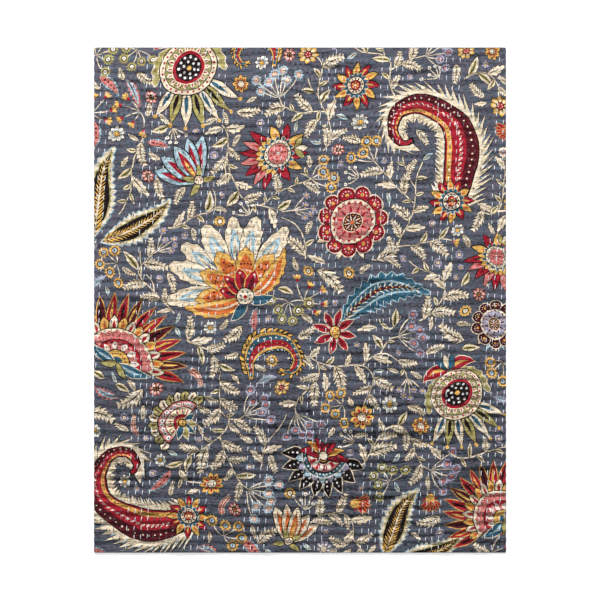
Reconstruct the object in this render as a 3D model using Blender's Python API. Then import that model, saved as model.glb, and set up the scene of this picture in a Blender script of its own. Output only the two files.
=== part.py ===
"""Kantha quilt: a cut length of hand-stitched quilt that lies flat, print side up.

The cloth is one closed solid. Its underside is flat at z = 0, and its face rises and falls in the puckers that
the running stitch draws up. X runs across the stitched rows, Y runs along them, and the origin is the middle of
the underside. Lengths are in metres.
"""

import math
from typing import NamedTuple

import bmesh
import bpy

# Driving dimensions of the cut length.
WIDTH = 0.620
LENGTH = 0.760

# Quilting: one pucker for each stitch along a row.
PUCKERS = 56
PUCKER_PITCH = LENGTH / PUCKERS
TROUGH_HEIGHT = 0.0018
PUCKER_RISE = 0.0024
LEAST_HEIGHT = 0.0010
FLAT_HALF_LOFT = 0.45

# Puckers wander up and down as they cross the cloth, and lie still at its two ends.
WANDER = 0.0042
EDGE_CALM = 0.030

# The rise is slight above LOFT_STARTS and full below LOFT_FULL, and a little patchy everywhere.
LOFT_STARTS = 0.10
LOFT_FULL = -0.26
LOFT_MEAN = 0.78

# The turned edge is pressed thin. Its sides are drawn in a little at each trough, over HEM_DRAW_WIDTH.
HEM_WIDTH = 0.0030
HEM_HEIGHT_SHARE = 0.55
HEM_DRAW = 0.0007
HEM_DRAW_WIDTH = 4 * HEM_WIDTH

# Facets of the face across the cloth. Along it there is one line of points on each crest and each trough.
COLUMNS = 36

# Half the width over which a long crease sinks.
CREASE_WIDTH = 0.0045

# Facets that meet at more than this stay sharp: the rim of the underside.
EDGE_ANGLE = math.radians(50)

# Printed cotton with a slate ground.
SLATE = (0.095, 0.100, 0.125, 1.0)
COTTON_ROUGHNESS = 0.92


class Wave(NamedTuple):
    """One term of an uneven pattern: its share, its radians for each metre across and along, and its start."""

    share: float
    across: float
    along: float
    start: float


WANDER_WAVES = (
    Wave(share=0.465, across=11.0, along=9.0, start=0.6),
    Wave(share=0.279, across=27.0, along=-14.0, start=2.1),
    Wave(share=0.163, across=61.0, along=33.0, start=4.0),
    Wave(share=0.093, across=97.0, along=-71.0, start=0.0),
)

LOFT_WAVES = (
    Wave(share=0.14, across=19.0, along=-23.0, start=1.3),
    Wave(share=0.08, across=47.0, along=39.0, start=0.0),
)


class Crease(NamedTuple):
    """A long crease that is deeper than the puckers: its middle, half length, rise to the right and depth."""

    x: float
    y: float
    half_length: float
    rise: float
    depth: float


MAIN_CREASES = (
    Crease(x=-0.005, y=0.305, half_length=0.125, rise=0.033, depth=0.0006),
    Crease(x=0.190, y=0.345, half_length=0.075, rise=0.022, depth=0.0005),
    Crease(x=-0.075, y=0.050, half_length=0.080, rise=-0.004, depth=0.0005),
    Crease(x=0.060, y=-0.035, half_length=0.070, rise=-0.010, depth=0.0006),
    Crease(x=0.105, y=-0.160, half_length=0.055, rise=0.002, depth=0.0009),
    Crease(x=0.150, y=-0.206, half_length=0.070, rise=-0.006, depth=0.0009),
    Crease(x=0.245, y=-0.188, half_length=0.050, rise=-0.012, depth=0.0010),
    Crease(x=0.090, y=-0.249, half_length=0.065, rise=0.008, depth=0.0010),
    Crease(x=0.260, y=-0.262, half_length=0.060, rise=0.016, depth=0.0012),
    Crease(x=0.140, y=-0.297, half_length=0.065, rise=0.010, depth=0.0012),
    Crease(x=0.005, y=-0.327, half_length=0.095, rise=0.006, depth=0.0010),
    Crease(x=-0.240, y=-0.322, half_length=0.045, rise=0.000, depth=0.0009),
    Crease(x=-0.255, y=-0.155, half_length=0.050, rise=-0.006, depth=0.0008),
)


def fade(value, start, end):
    """0 below start, 1 above end, and smooth in between."""
    t = min(1.0, max(0.0, (value - start) / (end - start)))
    return t * t * (3.0 - 2.0 * t)


def uneven(waves, x, y):
    """Sum of the waves at this place."""
    return sum(wave.share * math.sin(wave.across * x + wave.along * y + wave.start) for wave in waves)


def wander(x, y):
    """How far the pucker at this place is shifted along the cloth. It dies away towards the two ends."""
    calm = fade(LENGTH / 2 - abs(y), 0.0, EDGE_CALM)
    return WANDER * calm * uneven(WANDER_WAVES, x, y)


def loft(x, y):
    """Share of the full pucker rise: slight over the upper half of the cloth and full towards its lower end."""
    down = fade(-y, -LOFT_STARTS, -LOFT_FULL)
    patchy = LOFT_MEAN + uneven(LOFT_WAVES, x, y)
    return (FLAT_HALF_LOFT + (1.0 - FLAT_HALF_LOFT) * down) * patchy


def crease_drop(x, y):
    """Depth that the main creases take out of the face at this place."""
    drop = 0.0
    for crease in MAIN_CREASES:
        along = (x - crease.x) / crease.half_length
        if abs(along) < 1.0:
            off_line = (y - crease.y - crease.rise * along / 2) / CREASE_WIDTH
            drop += crease.depth * (1.0 - along * along) * math.exp(-off_line * off_line)
    return drop


def hem_share(x, y):
    """Share of the face height that is left near the turned edges."""
    inward = min(WIDTH / 2 - abs(x), LENGTH / 2 - abs(y))
    return HEM_HEIGHT_SHARE + (1.0 - HEM_HEIGHT_SHARE) * fade(inward, 0.0, HEM_WIDTH)


def face_height(x, y, crest):
    """Height of the face. crest is 1 on the top of a pucker and 0 in a trough."""
    height = TROUGH_HEIGHT + PUCKER_RISE * loft(x, y) * crest - crease_drop(x, y)
    return max(LEAST_HEIGHT, height) * hem_share(x, y)


def column_places():
    """X of each line of points that runs along the cloth, with one at the inner side of each side hem."""
    inner = WIDTH / 2 - HEM_WIDTH
    middle = [-inner + 2 * inner * i / COLUMNS for i in range(COLUMNS + 1)]
    return [-WIDTH / 2, *middle, WIDTH / 2]


def row_places():
    """(Y, crest) of each line across the cloth: the two cut ends, their hems, and each crest and trough between."""
    inner = LENGTH / 2 - HEM_WIDTH
    rows = [(-LENGTH / 2, 0), (-inner, 0)]
    for half in range(1, 2 * PUCKERS):
        rows.append((-LENGTH / 2 + half * PUCKER_PITCH / 2, half % 2))
    return [*rows, (inner, 0), (LENGTH / 2, 0)]


def face_point(x, y, crest):
    """Point of the face on a pucker's line, after its wander, with the side edges drawn in at the troughs."""
    shifted = y + wander(x, y)
    drawn_in = HEM_DRAW * (1 - crest) * fade(abs(x), WIDTH / 2 - HEM_DRAW_WIDTH, WIDTH / 2)
    return (x - math.copysign(drawn_in, x), shifted, face_height(x, shifted, crest))


def build_quilt(material):
    """The quilt as one closed solid: a puckered face, a thin turned edge and a flat underside."""
    mesh = bmesh.new()
    columns = column_places()
    rows = row_places()
    grid = [[mesh.verts.new(face_point(x, y, crest)) for x in columns] for y, crest in rows]
    for low, high in zip(grid, grid[1:]):
        for a, b, c, d in zip(low, low[1:], high[1:], high):
            mesh.faces.new((a, b, c, d))

    left = [row[0] for row in reversed(grid)][:-1]
    right = [row[-1] for row in grid][:-1]
    rim = [*grid[0][:-1], *right, *reversed(grid[-1][1:]), *left]
    foot = [mesh.verts.new((vert.co.x, vert.co.y, 0.0)) for vert in rim]
    for i, vert in enumerate(rim):
        after = (i + 1) % len(rim)
        mesh.faces.new((vert, foot[i], foot[after], rim[after]))
    mesh.faces.new(list(reversed(foot)))

    mesh.normal_update()
    data = bpy.data.meshes.new("quilt")
    mesh.to_mesh(data)
    mesh.free()
    data.materials.append(material)
    quilt = bpy.data.objects.new("quilt", data)
    bpy.context.scene.collection.objects.link(quilt)
    return quilt


def slate_cotton():
    """Printed cotton with a slate ground."""
    material = bpy.data.materials.new("slate_cotton")
    material.use_nodes = True
    shader = material.node_tree.nodes["Principled BSDF"]
    shader.inputs["Base Color"].default_value = SLATE
    shader.inputs["Roughness"].default_value = COTTON_ROUGHNESS
    shader.inputs["Metallic"].default_value = 0.0
    return material


def main():
    """Clears the scene and builds the quilt."""
    for old in list(bpy.data.objects):
        bpy.data.objects.remove(old)
    quilt = build_quilt(slate_cotton())
    quilt.data.shade_smooth()
    quilt.data.set_sharp_from_angle(angle=EDGE_ANGLE)


main()
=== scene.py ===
"""Dresses the kantha quilt: its printed cloth, its running stitches and its studio.

Lengths are in metres, but the print is designed in millimetres, with its origin in the middle of the cloth.
"""

from __future__ import annotations

import logging
import math
import random
from bisect import bisect_left
from dataclasses import dataclass
from enum import Enum
from functools import cached_property
from typing import Callable, ClassVar, Iterable, NamedTuple, Sequence, Union

import bpy
import numpy as np
from bpy.types import Material, Node, NodeOutputs, NodeSocket, NodeTree, Object
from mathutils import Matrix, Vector
from mathutils.geometry import delaunay_2d_cdt
from mathutils.kdtree import KDTree


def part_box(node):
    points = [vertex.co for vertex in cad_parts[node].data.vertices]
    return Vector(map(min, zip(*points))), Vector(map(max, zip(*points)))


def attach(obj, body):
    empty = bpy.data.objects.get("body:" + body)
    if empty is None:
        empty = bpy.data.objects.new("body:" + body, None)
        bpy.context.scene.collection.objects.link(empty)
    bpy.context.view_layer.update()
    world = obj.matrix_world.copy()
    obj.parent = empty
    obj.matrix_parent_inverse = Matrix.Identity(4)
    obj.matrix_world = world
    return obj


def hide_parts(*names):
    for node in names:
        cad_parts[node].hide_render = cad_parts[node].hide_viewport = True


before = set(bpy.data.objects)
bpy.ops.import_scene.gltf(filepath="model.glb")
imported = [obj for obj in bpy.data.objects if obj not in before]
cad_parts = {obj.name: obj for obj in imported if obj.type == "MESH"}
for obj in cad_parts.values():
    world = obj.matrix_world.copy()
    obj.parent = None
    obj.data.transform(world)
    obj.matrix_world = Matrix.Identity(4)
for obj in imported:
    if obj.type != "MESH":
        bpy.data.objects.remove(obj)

logging.basicConfig(level=logging.INFO, format="%(relativeCreated)d %(message)s")
LOG = logging.getLogger("quilt")

Numbers = np.ndarray
Point = tuple[float, float]
Outline = list[Point]
Pairs = list[tuple[int, int]]
Colour = tuple[float, ...]
Ends = tuple[Point, Point]

WHOLE_TURN = 360


class Ink(Enum):
    """Dyes of the print, each with the tone that it shows, 0 to 255. The first is the ground."""

    SLATE = (93, 96, 106)
    CREAM = (248, 231, 203)
    IVORY = (250, 241, 227)
    GOLD = (238, 188, 100)
    ORANGE = (224, 116, 54)
    CRIMSON = (176, 28, 48)
    MAROON = (90, 12, 26)
    BLACK = (24, 4, 2)
    TEAL = (50, 101, 121)
    PALE_BLUE = (176, 205, 216)
    SALMON = (218, 132, 126)
    OLIVE = (180, 170, 106)
    LILAC = (178, 172, 194)
    WHITE = (246, 246, 244)


class Tip(Enum):
    """How the ends of a petal are cut."""

    POINTED = 1
    FULL = 0.72
    ROUND = 0.5


SLATE, CREAM, IVORY, GOLD, ORANGE, CRIMSON, MAROON, BLACK, TEAL, PALE_BLUE, SALMON, OLIVE, LILAC, WHITE = Ink
POINTED, FULL, ROUND = Tip


class Edge(NamedTuple):
    """A drawn line round an area: its dye and its width in millimetres."""

    ink: Ink
    width: float


BOLD_BLACK = Edge(BLACK, 1.25)
BLACK_LINE = Edge(BLACK, 0.85)
FINE_BLACK = Edge(BLACK, 0.62)
CREAM_LINE = Edge(CREAM, 1)
FINE_CREAM = Edge(CREAM, 0.6)
GOLD_LINE = Edge(GOLD, 1.1)
BLUE_LINE = Edge(PALE_BLUE, 1.5)
MAROON_LINE = Edge(MAROON, 0.8)


class Area(NamedTuple):
    """One printed area: its outline and its dye."""

    outline: Outline
    ink: Ink


class Placing(NamedTuple):
    """Where a motif lies: its root, its heading in degrees clockwise from +Y, its size and its hand."""

    x: float = 0
    y: float = 0
    heading: float = 0
    size: float = 1
    mirrored: bool = False

    def lay(self, point: Point) -> Point:
        """A point of the motif on the cloth.

        Args:
            point: A point of the motif.

        Returns:
            Where it comes to lie on the cloth.
        """
        x = (-point[0] if self.mirrored else point[0]) * self.size
        y = point[1] * self.size
        c, s = math.cos(math.radians(self.heading)), math.sin(math.radians(self.heading))
        return (x * c + y * s + self.x, y * c - x * s + self.y)


def polar(radius: float, heading: float, at: Point = (0, 0)) -> Point:
    """A point at this distance from another. A heading of 0 is +Y, and it grows clockwise, in degrees."""
    angle = math.radians(heading)
    return (at[0] + radius * math.sin(angle), at[1] + radius * math.cos(angle))


def spread(count: int, first: float, last: float) -> list[float]:
    """Numbers that are spread evenly from the first to the last."""
    return [first + (last - first) * i / max(1, count - 1) for i in range(count)]


def headings(count: int, turn: float = 0, sweep: float = WHOLE_TURN) -> list[float]:
    """Headings spread over a sweep with its middle on a turn, or from that turn round a whole circle.

    Args:
        count: How many.
        turn: The middle of the sweep, or the first heading of a circle.
        sweep: Degrees.

    Returns:
        The headings.
    """
    if sweep >= WHOLE_TURN:
        return [turn + sweep * i / count for i in range(count)]
    return spread(count, turn - sweep / 2, turn + sweep / 2)


def smooth(share: float | Numbers) -> float | Numbers:
    """A share from 0 to 1, made to start and end gently."""
    return share * share * (3 - 2 * share)


def varied(i: int, dip: float, step: float, start: float = 0) -> float:
    """A share of 1, or up to twice the dip less, which varies from one part of a motif to the next."""
    return 1 - dip + dip * math.cos(step * i + start)


def grown(outline: Outline, width: float) -> Outline:
    """The outline moved outwards by width at each of its points.

    Args:
        outline: Its points.
        width: In millimetres.

    Returns:
        The new outline.
    """
    area = sum(a[0] * b[1] - b[0] * a[1] for a, b in zip(outline, outline[1:] + outline[:1]))
    reach = math.copysign(width, area)
    result = []
    for before, here, after in zip(outline[-1:] + outline[:-1], outline, outline[1:] + outline[:1]):
        dx, dy = after[0] - before[0], after[1] - before[1]
        size = math.hypot(dx, dy) or 1
        result.append((here[0] + reach * dy / size, here[1] - reach * dx / size))
    return result


class Block:
    """A print block: its areas of dye in the order that they are printed, later ones on top."""

    def __init__(self) -> None:
        """Starts with nothing printed."""
        self.areas: list[Area] = []

    def area(self, outline: Outline, ink: Ink, edge: Edge | None = None) -> None:
        """Adds an area, with a drawn line round it where edge is given.

        Args:
            outline: Its points.
            ink: Its dye.
            edge: The line.
        """
        if edge is not None:
            self.areas.append(Area(grown(outline, edge.width), edge.ink))
        self.areas.append(Area(outline, ink))

    def stamp(self, motif: Motif, placing: Placing) -> None:
        """Prints a motif at its place.

        Args:
            motif: What is printed.
            placing: Where it lies.
        """
        own = Block()
        motif.draw(own)
        self.areas += [Area([placing.lay(point) for point in area.outline], area.ink) for area in own.areas]


class Profile:
    """Half width of a band at a share of its length, between (share, half width) pairs."""

    def __init__(self, pairs: Sequence[Point], scale: float = 1, extra: float = 0) -> None:
        """Keeps the pairs, with a scale for every half width and an extra to add to it.

        Args:
            pairs: The (share, half width) pairs, in order.
            scale: Multiplies each half width.
            extra: Is added to each.
        """
        self.pairs = pairs
        self.scale = scale
        self.extra = extra

    def __call__(self, share: float) -> float:
        """Half width at a share of the length.

        Args:
            share: The share, from 0 to 1.

        Returns:
            The half width.
        """
        for (a, before), (b, after) in zip(self.pairs, self.pairs[1:]):
            if share <= b:
                eased = smooth(max(0, (share - a) / (b - a)))
                return (before + (after - before) * eased) * self.scale + self.extra
        return self.pairs[-1][1] * self.scale + self.extra


class Spine:
    """A smooth curve through a few points, read by its share of the length."""

    def __init__(self, knots: Sequence[Point], steps: int = 6) -> None:
        """Runs a Catmull-Rom curve through the knots.

        Args:
            knots: The points that the curve passes through.
            steps: Stretches between two knots.
        """
        before = (2 * knots[0][0] - knots[1][0], 2 * knots[0][1] - knots[1][1])
        after = (2 * knots[-1][0] - knots[-2][0], 2 * knots[-1][1] - knots[-2][1])
        line = [before, *knots, after]
        self.points: Outline = []
        for four in zip(line, line[1:], line[2:], line[3:]):
            self.points += [self._between(four, i / steps) for i in range(steps)]
        self.points.append(tuple(knots[-1]))
        self.reach = [0]
        for a, b in zip(self.points, self.points[1:]):
            self.reach.append(self.reach[-1] + math.dist(a, b))
        self.length = self.reach[-1]

    @staticmethod
    def _between(knots: Sequence[Point], t: float) -> Point:
        """The Catmull-Rom point between the middle two of four knots.

        Args:
            knots: The four.
            t: Share of the way from the second to the third.

        Returns:
            The point.
        """
        return tuple(
            0.5 * (2 * b + (c - a) * t + (2 * a - 5 * b + 4 * c - d) * t * t + (3 * b - a - 3 * c + d) * t**3)
            for a, b, c, d in zip(*knots)
        )

    def pose(self, share: float) -> tuple[float, float, float]:
        """Place and heading in degrees at a share of the length.

        Args:
            share: The share, from 0 to 1.

        Returns:
            X, Y and the heading.
        """
        goal = min(max(share, 0), 1) * self.length
        i = min(max(bisect_left(self.reach, goal) - 1, 0), len(self.reach) - 2)
        t = (goal - self.reach[i]) / (self.reach[i + 1] - self.reach[i] or 1)
        (ax, ay), (bx, by) = self.points[i], self.points[i + 1]
        return (ax + (bx - ax) * t, ay + (by - ay) * t, math.degrees(math.atan2(bx - ax, by - ay)))

    def at(self, share: float, off: float = 0) -> Point:
        """The point at a share of the length, moved off to the curve's left."""
        x, y, heading = self.pose(share)
        return polar(off, heading - 90, (x, y))

    def ribbon(self, width: Profile, start: float = 0, end: float = 1, off: float = 0,
               steps: int = 16) -> Outline:
        """Outline of a band along the curve.

        Args:
            width: Half width at a share of the length.
            start: Share at which the band starts.
            end: Share at which it ends.
            off: How far to the left the band's middle lies, as a share of its own half width.
            steps: Stretches along it.

        Returns:
            The closed outline.
        """
        shares = [start + (end - start) * i / steps for i in range(steps + 1)]
        left = [self.at(t, width(t) * (off + 1)) for t in shares]
        right = [self.at(t, width(t) * (off - 1)) for t in reversed(shares)]
        return left + right


def leaf_shape(root: Point, heading: float, length: float, width: float, power: float, full: float,
               bend: float, steps: int, notch: float = 0) -> Outline:
    """Outline of a petal or a leaf, smooth or toothed.

    Args:
        root: Where it grows from.
        heading: The way it grows, in degrees clockwise from +Y.
        length: From root to tip.
        width: Across its widest part.
        power: How pointed its ends are: 1 pointed, 0.5 round.
        full: Share of the length at which it is widest.
        bend: Degrees that it turns from root to tip.
        steps: Stretches along each side.
        notch: Share of the half width that every second point lies back.

    Returns:
        The closed outline.
    """
    rise = math.log(0.5) / math.log(full)
    here = root
    left, right = [root], []
    for i in range(1, steps):
        way = heading + bend * (i - 0.5) / steps
        here = polar(length / steps, way, here)
        half = 0.5 * width * math.sin(math.pi * (i / steps) ** rise) ** power
        foot = here
        if notch and i % 2:
            foot = polar(0.5 * length / steps, way, here)
        elif notch:
            half *= 1 - notch
        left.append(polar(half, way - 90, foot))
        right.append(polar(half, way + 90, foot))
    return left + [polar(length / steps, heading + bend, here)] + right[::-1]


class Element:
    """One step in drawing a motif. Lengths count in the motif's unit, and headings are in degrees."""

    def draw(self, block: Block, unit: float) -> None:
        """Prints the element on a block, with this many millimetres to the unit."""
        raise NotImplementedError


@dataclass(frozen=True)
class Motif:
    """A motif of the print, which grows along +Y from its root: its elements, and its unit in millimetres."""

    elements: tuple[Element, ...]
    unit: float = 1

    def draw(self, block: Block) -> None:
        """Prints the motif's elements in turn."""
        for element in self.elements:
            element.draw(block, self.unit)


@dataclass(frozen=True)
class Petals(Element):
    """Petals round a middle, or one alone, whose dyes take turns."""

    inks: tuple[Ink, ...]
    count: int
    start: float
    length: float
    width: float
    turn: float = 0
    sweep: float = WHOLE_TURN
    edge: Edge | None = None
    tip: Tip = POINTED
    full: float = 0.5
    bend: float = 0
    steps: int = 5
    notch: float = 0
    y: float = 0

    def draw(self, block: Block, unit: float) -> None:
        """Prints each petal on its heading.

        Args:
            block: Receives them.
            unit: Millimetres to the unit.
        """
        for i, way in enumerate(headings(self.count, self.turn, self.sweep)):
            root = polar(self.start * unit, way, (0, self.y * unit))
            shape = leaf_shape(root, way, self.length * unit, self.width * unit, self.tip.value, self.full,
                               self.bend, self.steps, self.notch)
            block.area(shape, self.inks[i % len(self.inks)], self.edge)


@dataclass(frozen=True)
class Dots(Element):
    """A ring, or part of one, of small dots."""

    ink: Ink
    count: int
    radius: float
    size: float
    turn: float = 0
    sweep: float = WHOLE_TURN
    sides: int = 6
    y: float = 0

    def draw(self, block: Block, unit: float) -> None:
        """Prints each dot on its heading.

        Args:
            block: Receives them.
            unit: Millimetres to the unit.
        """
        for way in headings(self.count, self.turn, self.sweep):
            at = polar(self.radius * unit, way, (0, self.y * unit))
            block.area([polar(self.size * unit, turn, at) for turn in headings(self.sides)], self.ink)


@dataclass(frozen=True)
class Disc(Element):
    """A round spot, or a toothed one where inner is given."""

    ink: Ink
    radius: float
    edge: Edge | None = None
    sides: int = 12
    inner: float = 0
    y: float = 0

    def draw(self, block: Block, unit: float) -> None:
        """Prints the spot.

        Args:
            block: Receives it.
            unit: Millimetres to the unit.
        """
        outline = []
        for i, way in enumerate(headings(self.sides)):
            reach = self.inner if self.inner and i % 2 else self.radius
            outline.append(polar(reach * unit, way, (0, self.y * unit)))
        block.area(outline, self.ink, self.edge)


@dataclass(frozen=True)
class Fan(Element):
    """A stretch of a disc, as wide to the left of its heading as to the right."""

    ink: Ink
    radius: float
    half: float
    edge: Edge | None = None
    steps: int = 14

    def draw(self, block: Block, unit: float) -> None:
        """Prints the stretch."""
        ways = headings(self.steps + 1, 0, 2 * self.half)
        block.area([(0, 0)] + [polar(self.radius * unit, way) for way in ways], self.ink, self.edge)


@dataclass(frozen=True)
class Around(Element):
    """A set of elements that is repeated round the root, each time turned to its heading."""

    elements: tuple[Element, ...]
    count: int
    radius: float = 0
    turn: float = 0
    sweep: float = WHOLE_TURN

    def draw(self, block: Block, unit: float) -> None:
        """Prints the set on each heading."""
        for way in headings(self.count, self.turn, self.sweep):
            block.stamp(Motif(self.elements, unit), Placing(*polar(self.radius * unit, way), way))


@dataclass(frozen=True)
class Mirrored(Element):
    """Elements that are drawn on the left side and again on the right."""

    elements: tuple[Element, ...]

    def draw(self, block: Block, unit: float) -> None:
        """Prints both sides."""
        for flip in (False, True):
            block.stamp(Motif(self.elements, unit), Placing(mirrored=flip))


@dataclass(frozen=True)
class Stamped(Element):
    """A whole motif inside another one."""

    motif: Motif
    placing: Placing = Placing()

    def draw(self, block: Block, unit: float) -> None:
        """Prints the motif."""
        x, y, *rest = self.placing
        block.stamp(self.motif, Placing(x * unit, y * unit, *rest))


class Layer:
    """One step in drawing a band. Lengths count in the motif's unit."""

    def draw(self, block: Block, spine: Spine, body: Profile, unit: float) -> None:
        """Prints the layer on a block, along a spine that carries a band of this half width."""
        raise NotImplementedError


@dataclass(frozen=True)
class Strip(Layer):
    """A plain strip along the band: a share of its width, with an extra on each side."""

    ink: Ink
    wide: float = 1
    extra: float = 0
    start: float = 0
    end: float = 1
    off: float = 0
    steps: int = 20

    def draw(self, block: Block, spine: Spine, body: Profile, unit: float) -> None:
        """Prints the strip."""
        width = Profile(body.pairs, body.scale * self.wide, self.extra)
        block.area(spine.ribbon(width, self.start, self.end, self.off, self.steps), self.ink)


@dataclass(frozen=True)
class Comb(Layer):
    """A strip with long teeth on both sides, which lean towards its end.

    Sides are shares of the reach on the left and the right. Taper is the share that the last tooth has lost.
    The band ends at a share of its length, and the dip and the wave make its teeth uneven.
    """

    ink: Ink
    teeth: int
    reach: float
    sides: Point = (1, 1)
    lean: float = 1
    taper: float = 0.4
    extra: float = 0
    edge: Edge | None = None
    end: ClassVar[float] = 0.98
    dip: ClassVar[float] = 0.14
    wave: ClassVar[float] = 2.3

    def draw(self, block: Block, spine: Spine, body: Profile, unit: float) -> None:
        """Prints the comb.

        Args:
            block: Receives it.
            spine: Carries the band.
            body: Half width of the band.
            unit: Millimetres to the unit.
        """
        width = Profile(body.pairs, body.scale, self.extra * unit)
        edges: list[Outline] = [[], []]
        for edge, side, part in zip(edges, (1, -1), self.sides):
            for i in range(self.teeth):
                root, crown = self.end * i / self.teeth, self.end * (i + 0.5) / self.teeth
                left = 1 - self.taper * i / self.teeth
                tall = self.reach * unit * part * left * varied(i, self.dip, self.wave)
                tip = min(1, crown + self.lean * tall / spine.length)
                edge.append(spine.at(root, side * width(root)))
                edge.append(spine.at(tip, side * (width(crown) + tall)))
        block.area(edges[0] + [spine.at(self.end)] + edges[1][::-1], self.ink, self.edge)


@dataclass(frozen=True)
class Studs(Layer):
    """A row of dots along the band. off is a share of the half width, to the left."""

    ink: Ink
    count: int
    size: float
    off: float = 0
    start: float = 0.1
    end: float = 0.85
    sides: int = 5

    def draw(self, block: Block, spine: Spine, body: Profile, unit: float) -> None:
        """Prints the dots.

        Args:
            block: Receives them.
            spine: Carries the band.
            body: Half width of the band.
            unit: Millimetres to the unit.
        """
        for share in spread(self.count, self.start, self.end):
            at = spine.at(share, self.off * body(share))
            block.area([polar(self.size * unit, way, at) for way in headings(self.sides)], self.ink)


@dataclass(frozen=True)
class Darts(Layer):
    """Small petals along the band, whose dyes take turns. Each is turned from the band's own heading."""

    inks: tuple[Ink, ...]
    count: int
    length: float
    width: float
    turn: float
    off: float = 0
    out: float = 0
    start: float = 0.05
    end: float = 0.95
    taper: float = 0.4
    bend: float = 0
    tip: Tip = POINTED
    edge: Edge | None = None
    steps: int = 4

    def draw(self, block: Block, spine: Spine, body: Profile, unit: float) -> None:
        """Prints the petals.

        Args:
            block: Receives them.
            spine: Carries the band.
            body: Half width of the band.
            unit: Millimetres to the unit.
        """
        for i, share in enumerate(spread(self.count, self.start, self.end)):
            size = (1 - self.taper * i / self.count) * unit
            root = spine.at(share, self.off * body(share) + math.copysign(self.out * unit, self.off))
            shape = leaf_shape(root, spine.pose(share)[2] + self.turn, self.length * size, self.width * size,
                               self.tip.value, 0.4, self.bend, self.steps)
            block.area(shape, self.inks[i % len(self.inks)], self.edge)


@dataclass(frozen=True)
class Band(Element):
    """A tapering band along a curve: the curve's knots, (share, half width) pairs and the layers on it."""

    knots: tuple[Point, ...]
    body: tuple[Point, ...]
    layers: tuple[Layer, ...]

    def draw(self, block: Block, unit: float) -> None:
        """Prints the band's layers in turn.

        Args:
            block: Receives them.
            unit: Millimetres to the unit.
        """
        spine = Spine([(x * unit, y * unit) for x, y in self.knots])
        body = Profile(self.body, unit)
        for layer in self.layers:
            layer.draw(block, spine, body, unit)


SUN_HEAD = Motif(unit=30, elements=(
    Petals((GOLD, CRIMSON), 12, 0.42, 0.62, 0.3, edge=BOLD_BLACK, bend=14, full=0.4),
    Petals((ORANGE, GOLD), 12, 0.48, 0.34, 0.1, bend=14, steps=3),
    Petals((TEAL,), 14, 0.36, 0.22, 0.17, edge=FINE_CREAM, steps=3),
    Disc(TEAL, 0.45, sides=16),
    Disc(CREAM, 0.38, BOLD_BLACK, sides=16),
    Dots(MAROON, 12, 0.3, 0.045),
    Disc(CRIMSON, 0.21, BOLD_BLACK),
    Dots(GOLD, 6, 0.12, 0.045),
    Disc(CREAM, 0.06, sides=6),
))

PAISLEY_SCALES = dict(off=0.12, start=0.1, end=0.9, taper=0.75, tip=FULL, steps=3)
PAISLEY = Motif((
    Band(
        knots=((0, 0), (12, 26), (17, 58), (6, 92), (-22, 112), (-50, 106), (-60, 84), (-49, 69), (-37, 74)),
        body=((0, 13), (0.22, 18), (0.55, 11), (0.85, 5), (1, 1.5)),
        layers=(
            Comb(CREAM, teeth=34, reach=17, sides=(0.55, 1), lean=0.9, taper=0.5, extra=5.5, edge=BLACK_LINE),
            Darts((OLIVE, PALE_BLUE), 34, 12, 1.7, turn=48, off=-1, out=4.5, taper=0.5, steps=2),
            Darts((OLIVE,), 30, 7, 1.4, turn=-46, off=1, out=4, taper=0.5, steps=2),
            Strip(BLACK, extra=1.6, steps=30),
            Strip(CRIMSON, end=0.99, steps=30),
            Strip(MAROON, wide=0.34, start=0.05, end=0.92, off=-1.9, steps=24),
            Strip(GOLD, wide=0.16, start=0.08, end=0.9, off=4.6, steps=24),
            Darts((IVORY,), 30, 7.6, 2.4, turn=38, **PAISLEY_SCALES),
            Darts((SALMON,), 30, 6.8, 2, turn=142, **PAISLEY_SCALES),
            Studs(CREAM, 26, 1.1, off=-0.66, sides=6),
            Studs(CRIMSON, 30, 0.9, off=0.74),
        ),
    ),
    Stamped(SUN_HEAD, Placing(size=0.8)),
))

POMEGRANATE = Motif((
    Mirrored((
        Petals((OLIVE,), 1, 0, 62, 25, turn=74, bend=-56, full=0.42, steps=12, notch=0.24, edge=CREAM_LINE,
               y=6),
        Petals((CREAM,), 1, 4, 48, 5, turn=74, bend=-50, full=0.4, y=6),
        Petals((CRIMSON,), 1, 0, 40, 15, turn=116, bend=-60, full=0.42, edge=CREAM_LINE, steps=6),
        Petals((GOLD,), 1, 3, 28, 4, turn=116, bend=-54, full=0.4),
    )),
    Petals((CREAM, OLIVE), 7, 26, 42, 13, sweep=102, edge=BOLD_BLACK, full=0.42, y=40),
    Petals((TEAL, BLACK), 7, 30, 25, 5, sweep=102, full=0.42, y=40),
    Dots(GOLD, 7, 69.5, 2.6, sweep=102, sides=8, y=40),
    Disc(CREAM, 34, BOLD_BLACK, sides=28, y=36),
    Dots(CRIMSON, 28, 30.8, 1.5, y=36),
    Disc(OLIVE, 28, BLACK_LINE, sides=24, y=36),
    Petals((CREAM,), 18, 18, 9.4, 5.6, tip=FULL, edge=FINE_BLACK, steps=4, y=36),
    Petals((CRIMSON,), 18, 19.5, 6, 1.8, steps=3, y=36),
    Disc(CRIMSON, 20, CREAM_LINE, sides=20, y=36),
    Disc(BLACK, 16.4, sides=18, y=36),
    Dots(WHITE, 11, 12.8, 1.8, sides=7, y=36),
    Dots(WHITE, 6, 7.4, 1.7, sides=7, y=36),
    Disc(GOLD, 3, sides=8, y=36),
    Petals((TEAL, CREAM, TEAL), 3, 0, 20, 8, turn=180, sweep=72, tip=FULL, edge=BLACK_LINE),
))

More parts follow.
